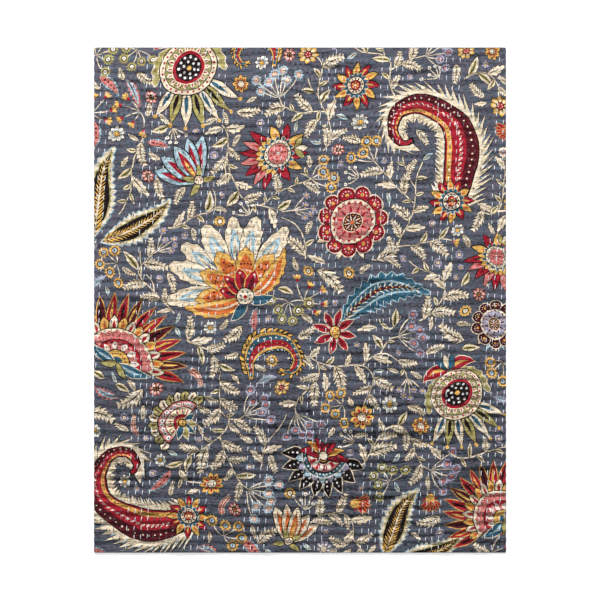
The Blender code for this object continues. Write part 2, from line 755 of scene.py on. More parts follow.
LOTUS_BUD_PETAL = (
    Petals((CREAM,), 1, 14, 78, 25, tip=FULL, full=0.6, edge=BLACK_LINE, steps=12, notch=0.1),
    Petals((PALE_BLUE,), 1, 16, 62, 14, tip=FULL, full=0.6, steps=7),
    Petals((CREAM,), 1, 16, 54, 8.4, full=0.55, steps=6),
    Petals((TEAL,), 1, 16, 46, 3.6, full=0.4, steps=5),
    Mirrored((Petals((TEAL,), 1, 30, 30, 1.4, turn=6, steps=3),)),
)

GRAND_LOTUS = Motif((
    Around(LOTUS_BUD_PETAL, 4, sweep=126),
    Around(LOTUS_BUD_PETAL, 3, sweep=76),
    Around(LOTUS_BUD_PETAL, 1),
    Around((
        Petals((GOLD,), 1, 8, 50, 24, tip=FULL, full=0.55, edge=MAROON_LINE, steps=9, notch=0.07),
        Petals((ORANGE,), 1, 9, 41, 16, tip=FULL, full=0.55, steps=7),
        Dots(MAROON, 4, 37, 1.3, sweep=18),
        Dots(IVORY, 3, 29, 1.3, sweep=16),
        Dots(MAROON, 2, 21, 1.3, sweep=14),
        Dots(MAROON, 1, 44, 1.3),
    ), 5, sweep=136),
    Around((
        Petals((CRIMSON,), 1, 2, 30, 14, tip=FULL, full=0.5, edge=GOLD_LINE, steps=6),
        Petals((MAROON,), 1, 5, 20, 5, steps=4),
        Dots(CREAM, 1, 26, 1.5),
    ), 4, sweep=108),
    Mirrored((
        Petals((GOLD,), 1, 0, 74, 21, turn=104, bend=-62, full=0.42, edge=MAROON_LINE, steps=14,
               notch=0.16),
        Petals((ORANGE,), 1, 3, 62, 12, turn=104, bend=-58, full=0.42, steps=8),
        Petals((CREAM,), 1, 4, 50, 2.6, turn=104, bend=-54, full=0.42, steps=6),
        Petals((TEAL,), 1, 0, 34, 12, turn=150, bend=-50, edge=CREAM_LINE),
    )),
    Disc(CREAM, 9, BOLD_BLACK),
    Dots(TEAL, 7, 5.6, 1.2),
    Disc(CRIMSON, 2.4, sides=7),
))

THISTLE = Motif((
    Petals((CRIMSON, SALMON), 7, 9, 34, 9.5, sweep=108, edge=BOLD_BLACK, full=0.42, y=22),
    Petals((MAROON, CRIMSON), 7, 14, 18, 2.6, sweep=108, steps=3, y=22),
    Petals((GOLD,), 9, 11, 13, 6.4, sweep=132, edge=BLACK_LINE, steps=4, y=22),
    Petals((GOLD, CRIMSON), 6, 8, 26, 10, turn=180, sweep=176, edge=BOLD_BLACK, bend=-18, y=22),
    Petals((ORANGE, MAROON), 6, 12, 12, 2.8, turn=180, sweep=176, steps=3, y=22),
    Petals((TEAL,), 15, 12.5, 6.5, 4.4, edge=FINE_CREAM, steps=3, y=22),
    Disc(CREAM, 14.5, BOLD_BLACK, sides=18, y=22),
    Dots(TEAL, 18, 12.7, 0.95, y=22),
    Disc(SALMON, 10.8, BLACK_LINE, sides=14, y=22),
    Dots(CRIMSON, 10, 8, 1.15, y=22),
    Dots(CRIMSON, 6, 4.6, 1.15, y=22),
    Disc(IVORY, 1.8, sides=6, y=22),
    Petals((OLIVE, CREAM, OLIVE), 3, 0, 15, 6, turn=180, sweep=100, tip=FULL,
           edge=BLACK_LINE, y=2),
))


class RimDyes(NamedTuple):
    """Dyes of a scalloped flower: its rim, its face and the petals behind it."""

    rim: Ink
    face: Ink
    back: Ink


def scalloped_flower(radius: float, lobes: int, dyes: RimDyes) -> Motif:
    """A round flower with a scalloped rim, a lighter disc and a dark, rayed eye.

    Args:
        radius: To the outside of the rim, in millimetres.
        lobes: Scallops.
        dyes: Its dyes.

    Returns:
        The motif.
    """
    lobe = (
        Disc(BLACK, 0.21, sides=12),
        Disc(dyes.rim, 0.185, sides=12),
        Dots(IVORY, 5, 0.12, 0.022, sweep=160, sides=5),
        Disc(GOLD, 0.055, sides=6),
    )
    return Motif(unit=radius, elements=(
        Petals((CREAM, dyes.back), 5, 0.4, 0.72, 0.24, turn=180, sweep=80, edge=BOLD_BLACK),
        Around((Disc(dyes.rim, 0.235, Edge(CREAM, 1.3)),), lobes, radius=0.76),
        Around(lobe, lobes, radius=0.76),
        Disc(CREAM, 0.62, BOLD_BLACK, sides=22),
        Petals((dyes.rim, dyes.face), lobes * 2, 0.44, 0.15, 0.1, tip=FULL, steps=3),
        Disc(dyes.face, 0.5, MAROON_LINE, sides=20),
        Petals((dyes.rim,), lobes, 0.22, 0.24, 0.07, tip=FULL, steps=3),
        Dots(MAROON, lobes * 2, 0.445, 0.016),
        Disc(MAROON, 0.25, CREAM_LINE, sides=14),
        Petals((CREAM,), 9, 0.04, 0.19, 0.035, steps=3),
        Dots(GOLD, 9, 0.2, 0.022, turn=20, sides=5),
        Disc(ORANGE, 0.06, sides=7),
    ))


RED_SCALLOPS = scalloped_flower(44, 11, RimDyes(CRIMSON, SALMON, PALE_BLUE))
LILAC_SCALLOPS = scalloped_flower(36, 10, RimDyes(MAROON, LILAC, PALE_BLUE))

FLAME_FLOWER = Motif((
    Petals((CRIMSON, CRIMSON, MAROON), 13, 40, 46, 11, sweep=144, edge=GOLD_LINE,
           bend=12, full=0.4),
    Petals((BLACK, GOLD), 13, 50, 26, 3.2, sweep=144, bend=10, steps=3),
    Petals((GOLD, CREAM), 12, 34, 24, 11, sweep=140, tip=FULL, edge=BOLD_BLACK),
    Petals((ORANGE, CRIMSON), 12, 39, 14, 4.4, sweep=140, tip=FULL, steps=3),
    Fan(CREAM, 43, 74, edge=BOLD_BLACK, steps=18),
    Petals((SALMON,), 11, 28, 13, 9, sweep=132, tip=FULL, edge=Edge(CRIMSON, 0.7),
           steps=4),
    Dots(CRIMSON, 11, 37, 1, sweep=132),
    Fan(CRIMSON, 29, 72, edge=BOLD_BLACK),
    Petals((IVORY, SALMON), 9, 15, 12, 6.6, sweep=120, tip=FULL, steps=4),
    Dots(CRIMSON, 9, 22, 1.1, sweep=120),
    Fan(GOLD, 15, 70, edge=BOLD_BLACK, steps=10),
    Dots(MAROON, 7, 10.5, 1, sweep=108),
    Fan(TEAL, 7, 64, steps=6),
    Mirrored((
        Petals((TEAL,), 1, 3, 40, 13, turn=96, full=0.4, bend=-34, edge=CREAM_LINE, steps=6),
        Petals((PALE_BLUE,), 1, 5, 28, 4, turn=96, full=0.4, bend=-30, steps=4),
        Petals((OLIVE,), 1, 0, 22, 8, turn=140, full=0.45, bend=-40, edge=BOLD_BLACK),
    )),
))

POINTED_LOTUS = Motif(unit=46, elements=(
    Petals((BLACK,), 9, 0.5, 0.52, 0.27, sweep=160, edge=CREAM_LINE, full=0.36),
    Dots(WHITE, 9, 0.66, 0.03, sweep=160),
    Dots(WHITE, 9, 0.76, 0.024, sweep=160),
    Dots(WHITE, 9, 0.85, 0.018, sweep=160),
    Petals((LILAC, PALE_BLUE), 8, 0.44, 0.26, 0.18, sweep=140, tip=FULL, edge=BLACK_LINE,
           steps=4),
    Fan(TEAL, 0.54, 84, edge=CREAM_LINE, steps=18),
    Dots(CREAM, 15, 0.475, 0.022, sweep=156),
    Fan(SALMON, 0.41, 84, edge=BOLD_BLACK),
    Petals((IVORY, CRIMSON), 9, 0.2, 0.19, 0.12, sweep=144, tip=FULL, steps=4),
    Fan(MAROON, 0.2, 84, edge=CREAM_LINE, steps=10),
    Dots(GOLD, 7, 0.13, 0.02, sweep=132),
    Mirrored((
        Petals((CRIMSON,), 1, 0, 0.62, 0.2, turn=100, full=0.42, bend=-30, edge=BOLD_BLACK),
        Petals((GOLD,), 1, 0, 0.5, 0.2, turn=132, full=0.42, bend=-30, edge=BOLD_BLACK),
        Petals((CRIMSON,), 1, 0, 0.42, 0.2, turn=163, full=0.42, bend=-30, edge=BOLD_BLACK),
        Petals((MAROON, ORANGE, MAROON), 3, 0.1, 0.32, 0.06, turn=131.5, sweep=63, bend=-24, steps=4),
    )),
    Disc(CREAM, 0.1, BOLD_BLACK, sides=8),
))

BROAD_LEAF = Motif((
    Petals((TEAL,), 1, 0, 118, 42, turn=-30, bend=84, full=0.42, steps=24, notch=0.3, edge=BLUE_LINE),
    Petals((PALE_BLUE,), 1, 2, 106, 20, turn=-30, bend=80, full=0.42, steps=12),
    Petals((TEAL,), 1, 3, 100, 15, turn=-30, bend=78, full=0.42, steps=12),
    Band(
        knots=((0, 0), (-10, 28), (-9, 57), (2, 84), (13, 97)),
        body=((0, 1), (0.4, 6), (1, 1)),
        layers=(
            Darts((CREAM,), 15, 11, 1.6, turn=-38, start=0.08, steps=3),
            Darts((CREAM,), 15, 11, 1.6, turn=38, start=0.08, steps=3),
            Strip(MAROON, wide=0.36),
            Studs(GOLD, 13, 1.1, start=0.06, end=0.9),
        ),
    ),
))

STRIPED_LEAF = Motif((
    Petals((CREAM,), 1, 0, 106, 40, turn=-17, bend=34, full=0.42, steps=26, notch=0.22, edge=BLUE_LINE),
    Petals((OLIVE,), 1, 1, 100, 29, turn=-17, bend=34, full=0.42, steps=24, notch=0.14),
    Petals((BLACK,), 1, 2, 96, 24, turn=-17, bend=33, full=0.42, steps=12),
    Band(
        knots=((0, 0), (-6, 26), (-8, 52), (-6, 78), (-2, 95)),
        body=((0, 0.8), (0.4, 9), (0.8, 6), (1, 0.8)),
        layers=(
            Darts((GOLD,), 19, 12.5, 2.4, turn=-42, start=0.04, end=0.9, taper=0.5, steps=4),
            Darts((GOLD,), 19, 12.5, 2.4, turn=42, start=0.04, end=0.9, taper=0.5, steps=4),
            Strip(CREAM, wide=0.13),
        ),
    ),
))

CRESCENT = Motif((
    Band(
        knots=((0, 0), (-24, 10), (-33, 34), (-20, 57), (3, 60), (13, 46), (5, 37)),
        body=((0, 2), (0.4, 11), (0.8, 4.5), (1, 1)),
        layers=(
            Darts((GOLD,), 25, 10, 4.4, turn=-50, off=1, out=0.4, end=0.98, taper=0.5, bend=30,
                  edge=BOLD_BLACK),
            Darts((PALE_BLUE,), 14, 5, 3.2, turn=50, off=-1, out=0.4, start=0.2, end=0.9, taper=0.5,
                  edge=BOLD_BLACK),
            Strip(BLACK, extra=1.5),
            Strip(GOLD, extra=0.5),
            Strip(TEAL, wide=0.74, start=0.02, end=0.96),
            Strip(CRIMSON, wide=0.4, start=0.06, end=0.9, off=-0.7),
            Studs(CREAM, 17, 1.15, off=0.42, end=0.82),
            Studs(GOLD, 13, 0.9, off=-0.3, start=0.16, end=0.78),
        ),
    ),
))


def tulip_cup(length: float, cup: Ink, flame: Ink) -> Motif:
    """A cup of pale petals licked with flames.

    Args:
        length: In millimetres.
        cup: Dye of the petals.
        flame: Dye of the flames on them.

    Returns:
        The motif.
    """
    petal = (
        Petals((cup,), 1, 0, 0.95, 0.3, tip=FULL, edge=BOLD_BLACK, steps=7),
        Petals((flame,), 1, 0.07, 0.74, 0.16, full=0.42),
        Petals((GOLD,), 1, 0.09, 0.48, 0.08, full=0.4, steps=4),
    )
    return Motif(unit=length, elements=(
        Around(petal, 2, sweep=76),
        Around(petal, 2, sweep=38),
        Around(petal, 1),
        Petals((OLIVE,), 4, 0, 0.38, 0.12, sweep=220, edge=BLACK_LINE),
        Disc(CREAM, 0.1, BOLD_BLACK, sides=10, y=0.04),
        Dots(CRIMSON, 6, 0.055, 0.016, sides=5, y=0.04),
    ))


BLUE_TULIP = tulip_cup(56, PALE_BLUE, CRIMSON)
CREAM_TULIP = tulip_cup(50, CREAM, ORANGE)

SHELL_FLOWER = Motif(unit=40, elements=(
    Petals((CREAM, OLIVE), 12, 0.62, 0.34, 0.24, sweep=176, tip=ROUND, edge=BOLD_BLACK),
    Petals((MAROON,), 12, 0.7, 0.2, 0.05, sweep=176, tip=FULL, steps=3),
    Fan(BLACK, 0.7, 96, steps=22),
    Fan(SALMON, 0.66, 94, steps=22),
    Dots(WHITE, 13, 0.56, 0.062, sweep=168, sides=8),
    Dots(BLACK, 13, 0.56, 0.028, sweep=168, sides=5),
    Fan(CREAM, 0.46, 94, edge=BLACK_LINE, steps=16),
    Petals((CRIMSON, OLIVE), 13, 0.24, 0.21, 0.045, sweep=160, steps=3),
    Fan(CRIMSON, 0.24, 94, edge=BLACK_LINE, steps=12),
    Dots(GOLD, 7, 0.15, 0.025, sweep=140),
    Petals((TEAL, OLIVE), 5, 0, 0.46, 0.16, turn=180, sweep=140, edge=CREAM_LINE),
    Disc(GOLD, 0.1, BOLD_BLACK, sides=8),
))

STAR_FLOWER = Motif(unit=27, elements=(
    Petals((CRIMSON,), 8, 0.16, 0.84, 0.3, edge=CREAM_LINE, bend=10),
    Petals((MAROON,), 8, 0.22, 0.5, 0.085, bend=8, steps=3),
    Disc(GOLD, 0.24, BOLD_BLACK, sides=10),
    Dots(CRIMSON, 6, 0.14, 0.035),
))


class RosetteDyes(NamedTuple):
    """Dyes of a rosette: its petals, their middles, the eye and the dots on the eye."""

    petal: Ink
    middle: Ink
    eye: Ink
    dots: Ink


GOLDEN = RosetteDyes(GOLD, CREAM, CRIMSON, CREAM)
SNOWY = RosetteDyes(IVORY, PALE_BLUE, GOLD, MAROON)
PINK = RosetteDyes(SALMON, CREAM, MAROON, GOLD)
FIERY = RosetteDyes(GOLD, CRIMSON, CREAM, TEAL)
VIOLET = RosetteDyes(LILAC, IVORY, CREAM, MAROON)


def rosette(radius: float, petals: int, dyes: RosetteDyes, tip: Tip = ROUND) -> Motif:
    """A small round flower.

    Args:
        radius: In millimetres.
        petals: How many it has.
        dyes: Its dyes.
        tip: How its petals end.

    Returns:
        The motif.
    """
    full = 0.62
    wide = 2 * math.pi * full / petals
    return Motif(unit=radius, elements=(
        Petals((dyes.petal,), petals, 0.18, 0.8, wide, tip=tip, edge=BLACK_LINE, full=full),
        Petals((dyes.middle,), petals, 0.3, 0.44, wide * 0.44, tip=FULL, full=0.6, steps=3),
        Disc(dyes.eye, 0.33, BLACK_LINE, sides=9),
        Dots(dyes.dots, 5, 0.19, 0.06, sides=5),
    ))


def ring_flower(radius: float, rim: Ink, ring: Ink, eye: Ink) -> Motif:
    """A very small round flower: a toothed rim, a ring and an eye.

    Args:
        radius: In millimetres.
        rim: Dye of the toothed rim.
        ring: Dye of the ring inside it.
        eye: Dye of the eye.

    Returns:
        The motif.
    """
    return Motif(unit=radius, elements=(
        Disc(rim, 1, sides=22, inner=0.74),
        Disc(ring, 0.54, sides=10),
        Disc(eye, 0.38, sides=8),
        Disc(ring, 0.13, sides=4),
    ))


def cup_thistle(length: float) -> Motif:
    """A small thistle: a dotted cup, a band and a crown of flames.

    Args:
        length: In millimetres.

    Returns:
        The motif.
    """
    return Motif(unit=length / 27, elements=(
        Petals((CRIMSON,), 7, 1, 18, 5.4, sweep=108, full=0.42, steps=4, edge=Edge(GOLD, 0.8), y=9),
        Petals((GOLD,), 1, 0, 15.5, 14, tip=ROUND, steps=7, edge=FINE_BLACK, y=-1),
        Petals((CRIMSON, ORANGE), 5, 7, 6, 3.4, sweep=124, steps=3, y=3),
        Dots(MAROON, 3, 3.2, 0.65, sweep=100, sides=5, y=2.6),
        Disc(MAROON, 1.8, sides=7, y=-0.6),
    ))


TINY_BELL = Motif(unit=13 / 12, elements=(
    Petals((GOLD,), 3, 2, 8.6, 3.6, sweep=52, full=0.6, steps=4, y=1.6),
    Disc(CRIMSON, 2.4, sides=7, y=3.2),
))


BELL = Motif(unit=19 / 20, elements=(
    Petals((CRIMSON,), 3, 0, 17, 7.5, sweep=64, tip=FULL, full=0.55, edge=FINE_CREAM, y=3),
    Petals((GOLD,), 1, 0, 11, 3.6, tip=FULL, steps=4, y=3),
    Petals((OLIVE,), 1, 0, 8, 7, tip=FULL, steps=4, edge=FINE_BLACK),
))


def daisy(radius: float) -> Motif:
    """A tiny flower of dots, this large in millimetres."""
    petals = Around((Disc(LILAC, 0.36, FINE_BLACK, sides=7),), 6, radius=0.62)
    return Motif((petals, Disc(GOLD, 0.34, sides=6)), radius)


FERN_LEAN = 0.36
LEAF_LEAD = 0.4


def fern_leaf(length: float, bend: float) -> Motif:
    """A feathery leaf with long teeth and a dark rib.

    Args:
        length: In millimetres.
        bend: Degrees that it turns from root to tip.

    Returns:
        The motif.
    """
    lean = math.tan(math.radians(bend)) * FERN_LEAN
    return Motif(unit=length, elements=(
        Band(
            knots=((0, 0), (-lean * 0.42, 0.36), (-lean * 0.2, 0.7), (lean * 0.35, 1)),
            body=((0, 0.02), (0.3, 0.13), (0.7, 0.08), (1, 0.01)),
            layers=(
                Comb(CREAM, teeth=7, reach=0.17, lean=0.95, taper=0.45, edge=BLACK_LINE),
                Darts((BLACK,), 6, 0.2, 0.036, turn=-42, start=0.12, end=0.82, steps=2),
                Darts((BLACK,), 6, 0.2, 0.036, turn=42, start=0.12, end=0.82, steps=2),
                Strip(BLACK, wide=0.19, end=0.92, steps=5),
            ),
        ),
    ))


def smooth_leaf(length: float, bend: float = 24, ink: Ink = CREAM, heart: Ink = OLIVE) -> Motif:
    """A plain pointed leaf with a dark rib.

    Args:
        length: In millimetres.
        bend: Degrees that it turns from root to tip.
        ink: Dye of the leaf.
        heart: Dye of its middle.

    Returns:
        The motif.
    """
    turn = -bend * LEAF_LEAD
    return Motif(unit=length, elements=(
        Petals((ink,), 1, 0, 1, 0.38, turn=turn, full=0.45, bend=bend, edge=BLACK_LINE, steps=6),
        Petals((heart,), 1, 0, 0.86, 0.18, turn=turn, full=0.45, bend=bend),
        Petals((BLACK,), 1, 0, 0.92, 0.06, turn=turn, tip=FULL, full=0.4, bend=bend),
    ))


def toothed_leaf(length: float, bend: float = 26) -> Motif:
    """A toothed leaf with one vein.

    Args:
        length: In millimetres.
        bend: Degrees that it turns from root to tip.

    Returns:
        The motif.
    """
    turn = -bend * LEAF_LEAD
    return Motif(unit=length, elements=(
        Petals((CREAM,), 1, 0, 1, 0.44, turn, bend=bend, full=0.42, steps=8, notch=0.36, edge=BLACK_LINE),
        Petals((BLACK,), 1, 0, 0.84, 0.04, turn=turn, bend=bend, tip=FULL, full=0.35, steps=4),
    ))


def pod_leaf(length: float) -> Motif:
    """A soft-edged pod with a row of seeds.

    Args:
        length: In millimetres.

    Returns:
        The motif.
    """
    return Motif(unit=length, elements=(
        Petals((PALE_BLUE,), 1, 0, 1, 0.4, turn=-14, bend=36, full=0.4, steps=16, notch=0.22),
        Petals((SALMON,), 1, 0, 0.93, 0.25, turn=-14, bend=34, tip=FULL, full=0.4, edge=FINE_BLACK, steps=7),
        Dots(MAROON, 1, 0.24, 0.045, turn=-12),
        Dots(MAROON, 1, 0.4, 0.04, turn=-8),
        Dots(MAROON, 1, 0.56, 0.035, turn=-4),
        Dots(MAROON, 1, 0.72, 0.028),
    ))


def plumelet(length: float, outer: Ink = SALMON) -> Motif:
    """A soft two-coloured plume.

    Args:
        length: In millimetres.
        outer: Dye of its edge.

    Returns:
        The motif.
    """
    return Motif(unit=length, elements=(
        Petals((outer,), 1, 0, 1, 0.36, turn=-16, bend=40, full=0.45, steps=14, notch=0.42),
        Petals((PALE_BLUE,), 1, 0, 0.9, 0.22, turn=-16, bend=38, full=0.45, steps=12, notch=0.4),
        Petals((MAROON,), 1, 0, 0.84, 0.035, turn=-16, bend=38, tip=FULL, full=0.4),
    ))


LEAFLETS = dict(count=9, length=14, width=4.8, start=0.08, taper=0.45, tip=FULL, edge=FINE_CREAM)
RED_SPRIG = Motif(unit=32 / 60, elements=(
    Band(
        knots=((0, 0), (-5, 18), (-1, 38), (10, 56)),
        body=((0, 0.8), (1, 0.5)),
        layers=(
            Darts((CRIMSON,), turn=-44, bend=20, **LEAFLETS),
            Darts((CRIMSON,), turn=44, bend=-20, **LEAFLETS),
            Strip(CREAM, steps=8),
        ),
    ),
))


STEM_WIDTH = 1.6
STEM_STEPS = 5
STEM_BEND = 0.45
STEM_DIP = 0.2
STEM_WAVE = (2.4, 0.5)


def flower_spray(length: float, flower: Motif, forks: int, sweep: float) -> Motif:
    """A forked spray of small flowers.

    Args:
        length: From its root to the furthest flower, in millimetres.
        flower: What each stem carries.
        forks: Stems.
        sweep: Degrees between the outer two.

    Returns:
        The motif.
    """
    stems, flowers = [], []
    for i, way in enumerate(headings(forks, 0, sweep)):
        long = length * varied(i, STEM_DIP, *STEM_WAVE)
        bend = -way * STEM_BEND
        stems.append(Petals((CREAM,), 1, 0, long, STEM_WIDTH, way, tip=ROUND, bend=bend, steps=STEM_STEPS))
        end = (0, 0)
        for step in range(STEM_STEPS):
            end = polar(long / STEM_STEPS, way + bend * (step + 0.5) / STEM_STEPS, end)
        flowers.append(Stamped(flower, Placing(*end, way + bend)))
    return Motif((*stems, *flowers))


BERRY = Motif((Disc(IVORY, 2.9, BLACK_LINE, sides=8), Disc(TEAL, 1, sides=5)))


class Cover:
    """Where the print already lies, on a grid of small cells. Lengths are in millimetres."""

    CELL = 2
    MARGIN = 40

    def __init__(self, width: float, length: float) -> None:
        """Starts with nothing covered.

        Args:
            width: Width of the cloth.
            length: Length of the cloth.
        """
        self.low = (-width / 2 - self.MARGIN, -length / 2 - self.MARGIN)
        across = int((width + 2 * self.MARGIN) / self.CELL)
        along = int((length + 2 * self.MARGIN) / self.CELL)
        self.cells = np.zeros((across, along), bool)

    def add(self, areas: Iterable[Area]) -> None:
        """Marks the cells that the outlines of these areas cross. Dark lines round a motif take no room.

        Args:
            areas: The areas.
        """
        for area in areas:
            if area.ink is BLACK:
                continue
            for a, b in zip(area.outline, area.outline[1:] + area.outline[:1]):
                steps = max(1, int(math.dist(a, b) / self.CELL))
                for i in range(steps):
                    self.mark(a[0] + (b[0] - a[0]) * i / steps, a[1] + (b[1] - a[1]) * i / steps)

    def mark(self, x: float, y: float) -> None:
        """Marks the cell at one place, where it lies on the grid.

        Args:
            x: X of the place.
            y: Y of the place.
        """
        i = int((x - self.low[0]) / self.CELL)
        j = int((y - self.low[1]) / self.CELL)
        if 0 <= i < self.cells.shape[0] and 0 <= j < self.cells.shape[1]:
            self.cells[i, j] = True

    def room(self, at: Point, most: float) -> float:
        """Distance from a place to the nearest print.

        Args:
            at: The place.
            most: The furthest that is looked.

        Returns:
            The distance, or most where nothing lies nearer.
        """
        i = (at[0] - self.low[0]) / self.CELL
        j = (at[1] - self.low[1]) / self.CELL
        reach = int(most / self.CELL) + 1
        left, low = max(0, int(i) - reach), max(0, int(j) - reach)
        near = np.argwhere(self.cells[left:int(i) + reach + 1, low:int(j) + reach + 1])
        if not len(near):
            return most
        gaps = np.hypot(near[:, 0] + left + 0.5 - i, near[:, 1] + low + 0.5 - j)
        return min(most, float(gaps.min()) * self.CELL)


class LeafKind(NamedTuple):
    """A leaf that vines bear: how it is drawn, its share of the vine's leaf size, and its bend in degrees."""

    draw: Callable[[float, float], Motif]
    size: float
    bend: float


LEAF_KINDS = (
    LeafKind(fern_leaf, 1.22, 20),
    LeafKind(smooth_leaf, 0.98, 24),
    LeafKind(fern_leaf, 1.16, 26),
    LeafKind(toothed_leaf, 1.04, 26),
    LeafKind(fern_leaf, 1.2, 12),
)

PALE_RINGS = ring_flower(8.6, PALE_BLUE, SALMON, CREAM)
LILAC_RINGS = ring_flower(8, LILAC, TEAL, SALMON)
CREAM_RINGS = ring_flower(8, CREAM, CRIMSON, PALE_BLUE)
GOLD_RINGS = ring_flower(9, GOLD, MAROON, PALE_BLUE)
OLIVE_RINGS = ring_flower(8.6, OLIVE, BLACK, IVORY)


class Bloom(NamedTuple):
    """A flower that ends a vine, and the clear ground that it needs round it in millimetres."""

    need: float
    motif: Motif


BLOOMS = (
    Bloom(30, flower_spray(46, PALE_RINGS, 7, 136)),
    Bloom(28, flower_spray(42, cup_thistle(27), 3, 100)),
    Bloom(26, flower_spray(40, LILAC_RINGS, 6, 124)),
    Bloom(24, rosette(18, 9, FIERY, POINTED)),
    Bloom(23, flower_spray(36, GOLD_RINGS, 4, 100)),
    Bloom(22, flower_spray(34, TINY_BELL, 5, 120)),
    Bloom(20, rosette(15.5, 8, GOLDEN, POINTED)),
    Bloom(19, flower_spray(30, daisy(5.6), 5, 110)),
    Bloom(18, rosette(14, 8, SNOWY)),
    Bloom(17, cup_thistle(31)),
    Bloom(16, rosette(13, 9, VIOLET)),
    Bloom(15, OLIVE_RINGS),
    Bloom(13, CREAM_RINGS),
    Bloom(12, BELL),
    Bloom(10, TINY_BELL),
)


class Filling(NamedTuple):
    """Small motifs for ground that is this clear, in millimetres. They take turns."""

    need: float
    motifs: tuple[Motif, ...]


FILLINGS = (
    Filling(22, (
        flower_spray(30, OLIVE_RINGS, 6, 250),
        fern_leaf(46, 30),
        flower_spray(30, TINY_BELL, 5, 200),
        pod_leaf(44),
        flower_spray(30, GOLD_RINGS, 5, 220),
        plumelet(44),
    )),
    Filling(16, (
        fern_leaf(36, 20),
        rosette(13, 8, FIERY, POINTED),
        pod_leaf(34),
        fern_leaf(34, -24),
        RED_SPRIG,
        rosette(13.5, 9, SNOWY),
        cup_thistle(29),
        plumelet(34, LILAC),
        rosette(13, 8, GOLDEN, POINTED),
    )),
    Filling(12, (
        fern_leaf(29, 24),
        rosette(10.5, 8, PINK, POINTED),
        fern_leaf(30, -18),
        flower_spray(25, BERRY, 5, 120),
        smooth_leaf(27),
        ring_flower(9.5, GOLD, BLACK, CREAM),
        rosette(10, 8, SNOWY),
        toothed_leaf(28, -22),
    )),
    Filling(9, (
        fern_leaf(21, 18),
        ring_flower(6.6, LILAC, MAROON, CREAM),
        toothed_leaf(19),
        daisy(5.4),
        smooth_leaf(18, 24, PALE_BLUE, CREAM),
        fern_leaf(20, -20),
    )),
)


class Vine(NamedTuple):
    """A vine to grow: where it starts, its heading, length, how often its forks fork, and its leaf's size."""

    x: float
    y: float
    heading: float
    length: float
    forks: int = 2
    leaf: float = 33


class Glance(NamedTuple):
    """A place that a vine looks at before a step.

    It has steps ahead, a share of the turn, a reach that room is looked for in, and the weight of that room.
    """

    steps: float
    turn: float
    reach: float
    weight: float


